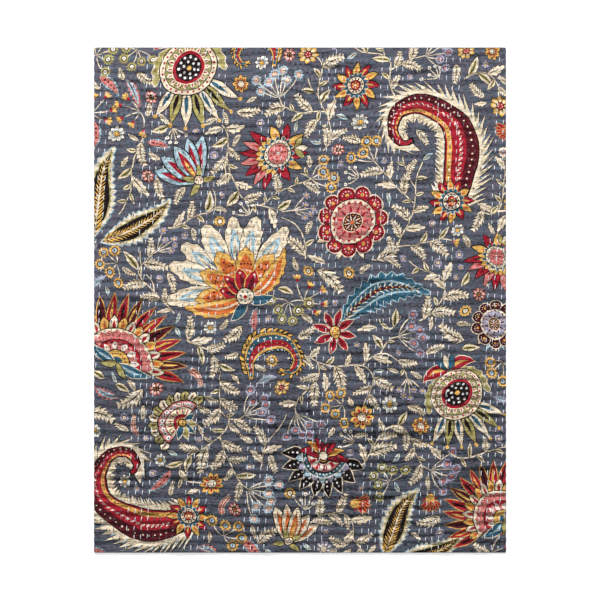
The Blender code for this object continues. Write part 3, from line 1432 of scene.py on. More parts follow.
class Vinework:
    """Grows vines through the room between the large motifs, then fills what is left.

    Its lengths are in millimetres and its angles in degrees. Tips, middles and the sizes of leaves, buds and
    forks are shares of the vine's own.
    """

    STEP = 7
    TURNS = (-27, -18, -9, 0, 9, 18, 27)
    GLANCES = (Glance(1, 0, 16, 1), Glance(4.2, 1, 22, 0.8), Glance(2.6, 0.7, 18, 1.1))
    TURN_COST = 0.28
    RIM_COST = 14
    RIM_GAP = 4
    OVERRUN = 10
    SWAY = 16
    SWAY_LENGTH = 26
    FREE_STEPS = 3
    STEM_ROOM = 6.5
    STEM = ((0, 1.05), (1, 0.7))
    STEM_LINE = 0.5
    STEM_POINTS = 4
    STEM_SMOOTH = 3
    STEM_STRETCH = 8
    STEM_STRETCHES = 6
    LOOK = 30
    BLOOM_AHEAD = 16
    BLOOMS_IN_TURN = 4
    LEAF_GAP = 13.5
    FIRST_LEAF = 7
    LEAF_ANGLES = (38, 66)
    LEAF_SIZES = (0.86, 1.08)
    LEAF_TIP = 0.95
    LEAF_MIDDLE = 0.55
    TIP_SLACK = 3
    LEAST_ROOM = 5
    LEAST_LEAF = 0.45
    BUD_TIP = 0.4
    BUD_ROOM = 4
    BUD_LEAF = 0.5
    BUD_BEND = 20
    FORK_LEAN = 42
    FORK_ROOM = 21
    FORK_CHANCE = 0.75
    FORK_LENGTH = 0.45
    FORK_LEAF = 0.88
    FILL_STEP = 5

    def __init__(self, block: Block, cover: Cover, size: Point, seed: int = 11) -> None:
        """Keeps what it works on.

        Args:
            block: Receives the vines and fillings.
            cover: Where the large motifs lie already.
            size: Width and length of the cloth.
            seed: Starts its draws.
        """
        self.block = block
        self.cover = cover
        self.size = size
        self.draws = random.Random(seed)
        self.turns = 0

    def inside(self, at: Point, margin: float) -> bool:
        """Whether a place lies on the cloth, or less than the margin off it."""
        return abs(at[0]) < self.size[0] / 2 + margin and abs(at[1]) < self.size[1] / 2 + margin

    def put(self, motif: Motif, placing: Placing) -> None:
        """Prints a motif and marks where it lies.

        Args:
            motif: The motif.
            placing: Where it lies.
        """
        own = Block()
        own.stamp(motif, placing)
        self.block.areas += own.areas
        self.cover.add(own.areas)

    def step_from(self, at: Point, heading: float, bias: float) -> tuple[float, Point]:
        """The next step of a vine, towards the most room.

        Args:
            at: Where the vine has got to.
            heading: Its heading.
            bias: The turn that it would take on open ground.

        Returns:
            The new heading and place.
        """
        steps = []
        for turn in self.TURNS:
            way = heading + turn
            seen = [polar(self.STEP * glance.steps, way + turn * glance.turn, at) for glance in self.GLANCES]
            rooms = [self.cover.room(place, glance.reach) for place, glance in zip(seen, self.GLANCES)]
            score = sum(glance.weight * room for glance, room in zip(self.GLANCES, rooms))
            score -= abs(turn - bias) * self.TURN_COST
            if not self.inside(seen[1], -self.RIM_GAP):
                score -= self.RIM_COST
            steps.append((score, way, seen[0]))
        _, way, near = max(steps)
        return way, near

    def path(self, vine: Vine) -> Outline:
        """A smooth way for a vine through the free ground.

        Args:
            vine: What is grown.

        Returns:
            The points of the way.
        """
        at, heading, walked = (vine.x, vine.y), vine.heading, 0
        points = [at]
        phase = self.draws.uniform(0, 2 * math.pi)
        while walked < vine.length:
            bias = self.SWAY * math.sin(phase + walked / self.SWAY_LENGTH)
            heading, near = self.step_from(at, heading, bias)
            free = walked <= self.FREE_STEPS * self.STEP or self.cover.room(near, self.LOOK) >= self.STEM_ROOM
            if not free or not self.inside(near, self.OVERRUN):
                break
            at = near
            points.append(at)
            walked += self.STEP
        return points

    def bloom_for(self, at: Point) -> Motif | None:
        """One of the largest blooms that have room here. They take turns.

        Args:
            at: The place.

        Returns:
            The bloom, or None where the ground is too tight.
        """
        room = self.cover.room(at, self.LOOK)
        fitting = [bloom.motif for bloom in BLOOMS if bloom.need <= room]
        if not fitting:
            return None
        self.turns += 1
        return fitting[min(len(fitting) - 1, self.turns % self.BLOOMS_IN_TURN)]

    def grow(self, vine: Vine) -> None:
        """Grows one vine with its leaves, its forks and its bloom.

        Args:
            vine: What is grown.
        """
        points = self.path(vine)
        if len(points) < self.STEM_POINTS:
            return
        spine = Spine(points[::2] if len(points) % 2 else points[::2] + points[-1:], self.STEM_SMOOTH)
        steps = max(self.STEM_STRETCHES, int(spine.length / self.STEM_STRETCH))
        stem = Block()
        stem.area(spine.ribbon(Profile(self.STEM, extra=self.STEM_LINE), steps=steps), BLACK)
        stem.area(spine.ribbon(Profile(self.STEM), steps=steps), CREAM)
        self.block.areas += stem.areas
        x, y, way = spine.pose(1)
        bloom = self.bloom_for(polar(self.BLOOM_AHEAD, way, (x, y)))
        if bloom is not None:
            self.put(bloom, Placing(x, y, way, mirrored=self.draws.random() < 0.5))
        forks = self.bear_leaves(spine, vine)
        self.cover.add(stem.areas)
        for fork in forks:
            self.grow(fork)

    def bear_leaves(self, spine: Spine, vine: Vine) -> list[Vine]:
        """Puts leaves along a stem where there is room for them.

        Args:
            spine: The stem.
            vine: What it is grown from.

        Returns:
            The forks that take the place of a leaf.
        """
        forks = []
        for i in range(int((spine.length - self.FIRST_LEAF) / self.LEAF_GAP)):
            x, y, way = spine.pose((self.FIRST_LEAF + self.LEAF_GAP * i) / spine.length)
            side = 1 if i % 2 else -1
            out = way + side * self.draws.uniform(*self.LEAF_ANGLES)
            far, near, bud = (
                self.cover.room(polar(vine.leaf * share, out, (x, y)), self.LOOK)
                for share in (self.LEAF_TIP, self.LEAF_MIDDLE, self.BUD_TIP)
            )
            if vine.forks and far > self.FORK_ROOM and i > 1 and self.draws.random() < self.FORK_CHANCE:
                forks.append(Vine(x, y, way + side * self.FORK_LEAN, vine.length * self.FORK_LENGTH,
                                  vine.forks - 1, vine.leaf * self.FORK_LEAF))
            elif min(near, far + self.TIP_SLACK) >= self.LEAST_ROOM:
                kind = LEAF_KINDS[self.draws.randrange(len(LEAF_KINDS))]
                size = min(vine.leaf, vine.leaf * self.LEAST_LEAF + near)
                size *= self.draws.uniform(*self.LEAF_SIZES)
                self.put(kind.draw(size * kind.size, side * kind.bend), Placing(x, y, out))
            elif bud > self.BUD_ROOM:
                self.put(smooth_leaf(vine.leaf * self.BUD_LEAF, side * self.BUD_BEND), Placing(x, y, out))
        return forks

    def fill(self) -> None:
        """Puts small motifs on what ground is still free, roomiest first."""
        for filling in FILLINGS:
            spots = [spot for spot in self.spots() if spot[0] >= filling.need]
            turn = 0
            for _, x, y in sorted(spots, reverse=True):
                if self.cover.room((x, y), self.LOOK) >= filling.need:
                    self.put_centred(filling.motifs[turn % len(filling.motifs)], (x, y))
                    turn += 1

    def spots(self) -> list[tuple[float, float, float]]:
        """The room, X and Y of places all over the cloth.

        Returns:
            A row of three numbers for each place.
        """
        result = []
        for i in range(int(self.size[0] / self.FILL_STEP)):
            for j in range(int(self.size[1] / self.FILL_STEP)):
                x = (i + 0.5) * self.FILL_STEP - self.size[0] / 2
                y = (j + 0.5) * self.FILL_STEP - self.size[1] / 2
                result.append((self.cover.room((x, y), self.LOOK), x, y))
        return result

    def put_centred(self, motif: Motif, at: Point) -> None:
        """Prints a motif with its middle at a place, on a heading of its own.

        Args:
            motif: The motif.
            at: The place.
        """
        own = Block()
        motif.draw(own)
        points = [point for area in own.areas for point in area.outline]
        middle = tuple((min(line) + max(line)) / 2 for line in zip(*points))
        heading = self.draws.uniform(0, WHOLE_TURN)
        x, y = Placing(heading=heading).lay(middle)
        self.put(motif, Placing(at[0] - x, at[1] - y, heading))


class Figure(NamedTuple):
    """A large motif and its placing."""

    motif: Motif
    x: float
    y: float
    heading: float = 0
    size: float = 1
    mirrored: bool = False


FIGURES = (
    Figure(PAISLEY, 226, 148, -4, 1.34),
    Figure(POMEGRANATE, -176, 392, 168, 1.24),
    Figure(GRAND_LOTUS, -84, 8, -30, 1.3),
    Figure(FLAME_FLOWER, -276, -96, 30, 1.22),
    Figure(RED_SCALLOPS, 78, 118, 20, 1.22),
    Figure(STRIPED_LEAF, -306, 96, 12, 1.28),
    Figure(STRIPED_LEAF, -296, 86, 56, 1.16, True),
    Figure(THISTLE, -4, 226, -104, 1.34),
    Figure(THISTLE, 308, 88, 206, 1.16),
    Figure(POMEGRANATE, 222, -104, 160, 1.12),
    Figure(BROAD_LEAF, 66, -34, 58, 1.26),
    Figure(STAR_FLOWER, 54, -46, 10, 1.25),
    Figure(PAISLEY, -168, -326, -80, 1.3, True),
    Figure(POINTED_LOTUS, 34, -232, 190, 1.36),
    Figure(SHELL_FLOWER, -176, -186, -50, 1.3),
    Figure(CRESCENT, -76, -118, 66, 1.25),
    Figure(BLUE_TULIP, -150, 176, -36, 1.3),
    Figure(SUN_HEAD, 86, 322, 0, 1.16),
    Figure(STRIPED_LEAF, 128, -386, 26, 1.12),
    Figure(STRIPED_LEAF, 140, -392, 70, 1.05, True),
    Figure(LILAC_SCALLOPS, 294, -36),
    Figure(FLAME_FLOWER, 306, -330, -50, 1.06),
    Figure(CREAM_TULIP, -20, -366, 20, 1.2),
    Figure(CRESCENT, -40, 352, -70, 1, True),
)

VINES = (
    Vine(-120, 262, 110, 190),
    Vine(-236, 244, 200, 150),
    Vine(34, 226, 60, 160),
    Vine(150, 300, -60, 120),
    Vine(262, 150, 160, 140),
    Vine(-110, 180, 30, 140),
    Vine(-200, 110, 120, 160),
    Vine(10, 60, 40, 170),
    Vine(110, 60, 120, 180),
    Vine(30, 170, -20, 90),
    Vine(-190, -20, -10, 130),
    Vine(-170, -60, 150, 170),
    Vine(-20, -90, 60, 200),
    Vine(120, -30, 200, 200),
    Vine(-100, -150, 200, 200),
    Vine(180, -30, 60, 130),
    Vine(-60, -250, 0, 160),
    Vine(90, -250, 60, 170),
    Vine(220, -230, 150, 140),
    Vine(-120, -250, -100, 140),
    Vine(0, -340, 100, 160),
    Vine(-270, -250, 0, 120),
    Vine(280, 20, -10, 120),
    Vine(-300, -300, 10, 90),
    Vine(250, 330, 60, 90),
)


@dataclass(frozen=True)
class PrintDesign:
    """The whole print: large figures, with vines and small motifs on the ground between them."""

    size: Point
    figures: tuple[Figure, ...] = FIGURES
    vines: tuple[Vine, ...] = VINES

    def block(self) -> Block:
        """The print block: vines and fillings first, the large figures over them.

        Returns:
            The block.
        """
        large = Block()
        for motif, *placing in self.figures:
            large.stamp(motif, Placing(*placing))
        cover = Cover(*self.size)
        cover.add(large.areas)
        block = Block()
        work = Vinework(block, cover, self.size)
        for vine in self.vines:
            work.grow(vine)
        work.fill()
        block.areas += large.areas
        return block


class Wave(NamedTuple):
    """One term of an uneven pattern: its share, its radians for each metre across and along, its start."""

    share: float
    across: float
    along: float
    start: float


class Crease(NamedTuple):
    """A long crease: its middle, half length, rise to the right, depth and half width."""

    x: float
    y: float
    half_length: float
    rise: float
    depth: float
    width: float = 0.0045


WANDER_WAVES = (
    Wave(0.465, 11, 9, 0.6),
    Wave(0.279, 27, -14, 2.1),
    Wave(0.163, 61, 33, 4),
    Wave(0.093, 97, -71, 0),
)

LOFT_WAVES = (
    Wave(0.14, 19, -23, 1.3),
    Wave(0.08, 47, 39, 0),
)

# Short ripples that cross the puckers at a slant and break them up. Their shares are heights in metres.
SLANT_WAVES = (
    Wave(0.00036, 62, 620, 0.4),
    Wave(0.0003, -95, 880, 2.6),
    Wave(0.00022, 130, 1160, 5.1),
)
SLANT_PATCHES = (
    Wave(0.5, 17, 21, 0.2),
    Wave(0.5, -29, 37, 1.9),
)

# Shifts of a hand-drawn line, in millimetres, with their turns given for each millimetre.
HAND_SHIFTS_X = (
    Wave(2.2, 0, 0.051, 0.9),
    Wave(1.1, 0.083, 0.047, 0),
    Wave(0.35, 0.22, 0.31, 0),
)
HAND_SHIFTS_Y = (
    Wave(2, 0.047, 0, 2.2),
    Wave(1.1, -0.053, 0.079, 0),
    Wave(0.35, 0.29, -0.24, 0),
)

MAIN_CREASES = (
    Crease(-0.005, 0.305, 0.125, 0.033, 0.0006),
    Crease(0.19, 0.345, 0.075, 0.022, 0.0005),
    Crease(-0.075, 0.05, 0.08, -0.004, 0.0005),
    Crease(0.06, -0.035, 0.07, -0.01, 0.0006),
    Crease(0.105, -0.16, 0.055, 0.002, 0.0009),
    Crease(0.15, -0.206, 0.07, -0.006, 0.0009),
    Crease(0.245, -0.188, 0.05, -0.012, 0.001),
    Crease(0.09, -0.249, 0.065, 0.008, 0.001),
    Crease(0.26, -0.262, 0.06, 0.016, 0.0012),
    Crease(0.14, -0.297, 0.065, 0.01, 0.0012),
    Crease(0.005, -0.327, 0.095, 0.006, 0.001),
    Crease(-0.24, -0.322, 0.045, 0, 0.0009),
    Crease(-0.255, -0.155, 0.05, -0.006, 0.0008),
)

MM = 1000
TINY = 1e-6


def fade(value: Numbers, start: float, end: float) -> Numbers:
    """0 below start, 1 above end, and smooth in between."""
    return smooth(np.clip((value - start) / (end - start), 0, 1))


def uneven(waves: Sequence[Wave], x: Numbers, y: Numbers) -> Numbers:
    """Sum of the waves at each place."""
    return sum(wave.share * np.sin(wave.across * x + wave.along * y + wave.start) for wave in waves)


@dataclass(frozen=True)
class FineCreases:
    """Short creases all over the face, longer and more slanted above and deeper below."""

    count: int = 420
    seed: int = 5
    half_length: Point = (0.018, 0.034)
    upper_length: float = 0.04
    slant: float = 0.16
    upper_slant: float = 0.2
    depth: Point = (0.00035, 0.0008)
    lower_depth: float = 1.35
    upper_loss: float = 0.45
    width: Point = (0.0018, 0.003)

    def scatter(self, width: float, length: float) -> tuple[Crease, ...]:
        """Draws the creases.

        Args:
            width: Width of the cloth.
            length: Length of the cloth.

        Returns:
            The creases.
        """
        draws = random.Random(self.seed)
        creases = []
        for _ in range(self.count):
            y = draws.uniform(-length / 2, length / 2)
            upper = 0.5 + y / length
            half = draws.uniform(self.half_length[0], self.half_length[1] + self.upper_length * upper)
            x = draws.uniform(-width / 2, width / 2)
            rise = half * draws.uniform(-self.slant, self.slant + self.upper_slant * upper)
            depth = draws.uniform(*self.depth) * (self.lower_depth - self.upper_loss * upper)
            creases.append(Crease(x, y, half, rise, depth, draws.uniform(*self.width)))
        return tuple(creases)


@dataclass(frozen=True)
class Relief:
    """The rise and fall of the quilt's face. Lengths are in metres.

    The puckers run across the cloth, one for each stitch along a row. They are low over the upper half.
    """

    width: float
    length: float
    puckers: int = 56
    trough_height: float = 0.0018
    rise: float = 0.0024
    least: float = 0.001
    flat_half_loft: float = 0.45
    loft_mean: float = 0.78
    loft_starts: float = -0.1
    loft_full: float = 0.26
    wander: float = 0.0042
    edge_calm: float = 0.03
    end_calm: float = 0.01
    # The crest value that the painted shade takes at the two ends.
    end_crest: float = 0.6
    hem: float = 0.003
    hem_share: float = 0.55
    hem_draw: float = 0.0007
    pinch: float = 0.58
    back_rise: float = 0.00042
    back_lift: float = 0.00035
    fine_creases: FineCreases = FineCreases()
    normal_reach: float = 0.0004
    drift_steps: int = 4

    @property
    def pitch(self) -> float:
        """From one pucker to the next."""
        return self.length / self.puckers

    @cached_property
    def creases(self) -> tuple[Crease, ...]:
        """The long creases and the fine ones."""
        return MAIN_CREASES + self.fine_creases.scatter(self.width, self.length)

    def drift(self, x: Numbers, y: Numbers) -> Numbers:
        """How far the pucker of this row is shifted along the cloth."""
        calm = fade(self.length / 2 - np.abs(y), 0, self.edge_calm)
        return self.wander * calm * uneven(WANDER_WAVES, x, y)

    def crest(self, x: Numbers, y: Numbers) -> Numbers:
        """1 on the top of a pucker and 0 in a trough.

        Args:
            x: X of the places.
            y: Y of the places.

        Returns:
            A share for each place.
        """
        row = y
        for _ in range(self.drift_steps):
            row = y - self.drift(x, row)
        turn = 2 * np.pi * (row + self.length / 2) / self.pitch
        return (0.5 - 0.5 * np.cos(turn)) ** self.pinch

    def loft(self, x: Numbers, y: Numbers) -> Numbers:
        """Share of the full rise: slight over the upper half, full towards the lower end.

        Args:
            x: X of the places.
            y: Y of the places.

        Returns:
            A share for each place.
        """
        down = fade(-y, self.loft_starts, self.loft_full)
        mean = self.loft_mean + uneven(LOFT_WAVES, x, y)
        return (self.flat_half_loft + (1 - self.flat_half_loft) * down) * mean

    def creased(self, x: Numbers, y: Numbers) -> Numbers:
        """Depth that the creases take out of the face.

        Args:
            x: X of the places.
            y: Y of the places.

        Returns:
            A depth for each place.
        """
        drop = np.zeros_like(x)
        for crease in self.creases:
            along = (x - crease.x) / crease.half_length
            off = (y - crease.y - crease.rise * along / 2) / crease.width
            drop += crease.depth * np.clip(1 - along * along, 0, 1) * np.exp(-off * off)
        return drop

    def inward(self, x: Numbers, y: Numbers) -> Numbers:
        """Distance from each place to the nearest edge."""
        return np.minimum(self.width / 2 - np.abs(x), self.length / 2 - np.abs(y))

    def puckered(self, x: Numbers, y: Numbers) -> Numbers:
        """Height of the puckered and creased face, before its edge is pressed thin.

        Args:
            x: X of the places.
            y: Y of the places.

        Returns:
            A height for each place.
        """
        height = self.trough_height + self.rise * self.loft(x, y) * self.crest(x, y) - self.creased(x, y)
        height = height + uneven(SLANT_WAVES, x, y) * (0.5 + 0.5 * uneven(SLANT_PATCHES, x, y))
        return np.maximum(self.least, height)

    def face(self, x: Numbers, y: Numbers) -> Numbers:
        """Height of the printed face."""
        share = self.hem_share + (1 - self.hem_share) * fade(self.inward(x, y), 0, self.hem)
        return self.puckered(x, y) * share

    def normals(self, height: Callable[[Numbers, Numbers], Numbers], x: Numbers, y: Numbers) -> Numbers:
        """Unit normals that point up, out of a surface of this height.

        Args:
            height: Gives the height at places.
            x: X of the places.
            y: Y of the places.

        Returns:
            A normal for each place. They turn upright towards the two ends of the cloth.
        """
        reach = self.normal_reach
        slope_x = (height(x + reach, y) - height(x - reach, y)) / (2 * reach)
        slope_y = (height(x, y + reach) - height(x, y - reach)) / (2 * reach)
        slope_y = slope_y * fade(self.length / 2 - np.abs(y), 0, self.end_calm)
        return unit(np.stack([-slope_x, -slope_y, np.ones_like(slope_x)], axis=1))

    def back(self, x: Numbers, y: Numbers) -> Numbers:
        """Height of the underside. Its stitches hold it up, and it lifts a little more under each crest."""
        height = self.back_rise + self.back_lift * self.loft(x, y) * self.crest(x, y)
        return height * fade(self.inward(x, y), 0, 2 * self.hem)

    def drawn_in(self, x: Numbers, y: Numbers) -> Numbers:
        """X after the sides are drawn in at the troughs."""
        near = fade(np.abs(x), self.width / 2 - 4 * self.hem, self.width / 2)
        return x - np.sign(x) * self.hem_draw * (1 - self.crest(x, y)) * near


class Thread(Enum):
    """Colours of sewing thread."""

    WHITE = "white_thread"
    SLATE = "slate_thread"


@dataclass(frozen=True)
class Rows:
    """The rows of running stitch. They lean a little. Sets of white ones alternate with slate ones."""

    set_pitch: float = 0.088
    first_set: float = -0.333
    sets: int = 9
    whites: int = 4
    white_gap: float = 0.0102
    slates: int = 5
    lean: float = 0.045
    sways: tuple[Wave, ...] = (Wave(0.0012, 37, 9, 0), Wave(0.0005, 91, 61, 0))

    def places(self, thread: Thread) -> list[float]:
        """X at which each row of one colour of thread crosses the middle line.

        Args:
            thread: The colour.

        Returns:
            A number for each row.
        """
        starts = [self.first_set + i * self.set_pitch for i in range(self.sets)]
        if thread is Thread.WHITE:
            return [start + k * self.white_gap for start in starts for k in range(self.whites)]
        band = (self.whites - 1) * self.white_gap
        gap = (self.set_pitch - band) / (self.slates + 1)
        return [start + band + (k + 1) * gap for start in starts for k in range(self.slates)]

    def x_at(self, place: float, y: float) -> float:
        """X of a row at this height on the cloth."""
        sway = sum(wave.share * math.sin(wave.along * y + wave.across * place) for wave in self.sways)
        return place + self.lean * y + sway


def unit(vectors: Numbers) -> Numbers:
    """The vectors, each made one long."""
    return vectors / np.linalg.norm(vectors, axis=1, keepdims=True)


def clipped(outline: Numbers, half: Point) -> Numbers:
    """The part of a closed outline that lies on the printed face.

    Args:
        outline: Its points.
        half: Half the width and half the length of the face.

    Returns:
        The points of the part.
    """
    for axis, side in ((0, 1), (0, -1), (1, 1), (1, -1)):
        room = half[axis] - side * outline[:, axis]
        if np.all(room >= 0):
            continue
        kept = []
        for i in range(len(outline)):
            if (room[i - 1] >= 0) != (room[i] >= 0):
                share = room[i - 1] / (room[i - 1] - room[i])
                kept.append(outline[i - 1] + (outline[i] - outline[i - 1]) * share)
            if room[i] >= 0:
                kept.append(outline[i])
        outline = np.array(kept).reshape(-1, 2)
    return outline


def sides_of(tris: Numbers) -> Numbers:
    """The three sides of each triangle, as pairs of points."""
    return np.concatenate([tris[:, (0, 1)], tris[:, (1, 2)], tris[:, (2, 0)]])


def ring_edges(count: int, first: int = 0) -> Pairs:
    """The sides of a ring of points, as pairs of them."""
    return [(first + i, first + (i + 1) % count) for i in range(count)]


def triangulated(points: Numbers, edges: Pairs, slack: float) -> tuple[Numbers, Numbers]:
    """Joins points on a plane with triangles that keep to these edges.

    Args:
        points: Their X and Y in millimetres.
        edges: Pairs of points that a side runs between.
        slack: Points nearer to each other than this are made one.

    Returns:
        The points and the triangles.
    """
    verts, _, tris, *_ = delaunay_2d_cdt([Vector(point) for point in points.tolist()], edges, [], 0, slack)
    return np.array([(vert.x, vert.y) for vert in verts]), np.array(tris)


def straightened(places: Numbers, pairs: Numbers, slack: float) -> tuple[Numbers, Pairs]:
    """Drops the points of a net of lines that lie on a straight stretch between their two neighbours.

    Args:
        places: The points.
        pairs: The lines, as pairs of points.
        slack: How far off the stretch a point may lie.

    Returns:
        The points and the lines that are left.
    """
    near: dict[int, set[int]] = {}
    for a, b in pairs.tolist():
        near.setdefault(a, set()).add(b)
        near.setdefault(b, set()).add(a)
    for vert in list(near):
        if len(near[vert]) != 2:
            continue
        a, b = near[vert]
        span = math.dist(places[a], places[b])
        if b in near[a] or span < TINY:
            continue
        way = (places[b] - places[a]) / span
        step = places[vert] - places[a]
        off = abs(way[0] * step[1] - way[1] * step[0])
        if off < slack and 0 <= step @ way <= span:
            near[a].symmetric_difference_update((vert, b))
            near[b].symmetric_difference_update((vert, a))
            del near[vert]
    keep = {vert: i for i, vert in enumerate(near)}
    return places[list(keep)], [(keep[a], keep[b]) for a in near for b in near[a] if a < b]


def boundary(tris: Numbers) -> Numbers:
    """The points round the open edge of a sheet of triangles, in order.

    Args:
        tris: The triangles, counter-clockwise.

    Returns:
        The points.
    """
    known = set(map(tuple, sides_of(tris).tolist()))
    after = {a: b for a, b in known if (b, a) not in known}
    loop = [min(after)]
    while after[loop[-1]] != loop[0]:
        loop.append(after[loop[-1]])
    return np.array(loop)


class PrintedAreas:
    """The print laid on the cloth, in millimetres, with the slow and fast shifts of a drawing hand."""

    JOIN = 0.012
    SLACK = 0.07

    def __init__(self, areas: Sequence[Area], half: Point) -> None:
        """Keeps the areas that lie on the face.

        Args:
            areas: The print block's areas, later ones on top.
            half: Half the width and half the length of the face.
        """
        places = {ink: i for i, ink in enumerate(Ink)}
        self.shapes: list[tuple[Numbers, int]] = []
        for area in areas:
            outline = clipped(self.by_hand(np.array(area.outline)), half)
            if len(outline) >= 3:
                self.shapes.append((outline, places[area.ink]))

    @staticmethod
    def by_hand(outline: Numbers) -> Numbers:
        """The outline after the shifts of the hand."""
        x, y = outline[:, 0], outline[:, 1]
        return np.stack([x + uneven(HAND_SHIFTS_X, x, y), y + uneven(HAND_SHIFTS_Y, x, y)], axis=1)

    def inks_at(self, points: Numbers) -> Numbers:
        """The place in the table of dyes of what shows at each point.

        Args:
            points: Their X and Y in millimetres.

        Returns:
            A place in the table for each point.
        """
        order = np.argsort(points[:, 0])
        xs, ys = points[order, 0], points[order, 1]
        inks = np.zeros(len(points), dtype=np.int32)
        for outline, ink in self.shapes:
            low, high = outline.min(axis=0), outline.max(axis=0)
            first, last = np.searchsorted(xs, (low[0], high[0]))
            near = first + np.nonzero((ys[first:last] > low[1]) & (ys[first:last] < high[1]))[0]
            if len(near) == 0:
                continue
            px, py = xs[near, None], ys[near, None]
            ax, ay = outline[:, 0], outline[:, 1]
            bx, by = np.roll(ax, -1), np.roll(ay, -1)
            left = (bx - ax) * (py - ay) - (px - ax) * (by - ay)
            up = (ay <= py) & (by > py) & (left > 0)
            down = (ay > py) & (by <= py) & (left < 0)
            inks[order[near[up.sum(1) != down.sum(1)]]] = ink
        return inks

    def seams(self) -> tuple[Numbers, Pairs]:
        """The lines where two dyes meet, as points and pairs of points.

        Returns:
            The points and the pairs.
        """
        edges, count = [], 0
        for outline, _ in self.shapes:
            edges += ring_edges(len(outline), count)
            count += len(outline)
        outlines = np.concatenate([outline for outline, _ in self.shapes])
        places, tris = triangulated(outlines, edges, self.JOIN)
        dyes = np.tile(self.inks_at(places[tris].mean(axis=1)), 3)
        sides = np.sort(sides_of(tris), axis=1)
        order = np.lexsort((sides[:, 1], sides[:, 0]))
        sides, dyes = sides[order], dyes[order]
        apart = np.all(sides[1:] == sides[:-1], axis=1) & (dyes[1:] != dyes[:-1])
        return straightened(places, sides[1:][apart], self.SLACK)


class EdgeRing(NamedTuple):
    """A ring of the turned edge: its steps outwards and upwards, as shares, and the lean of its normals."""

    out: float
    rise: float
    lean: float


EDGE_RINGS = (EdgeRing(0.72, 0.8, 0.75), EdgeRing(1, 0.42, 0), EdgeRing(0.62, 0.06, -0.8))


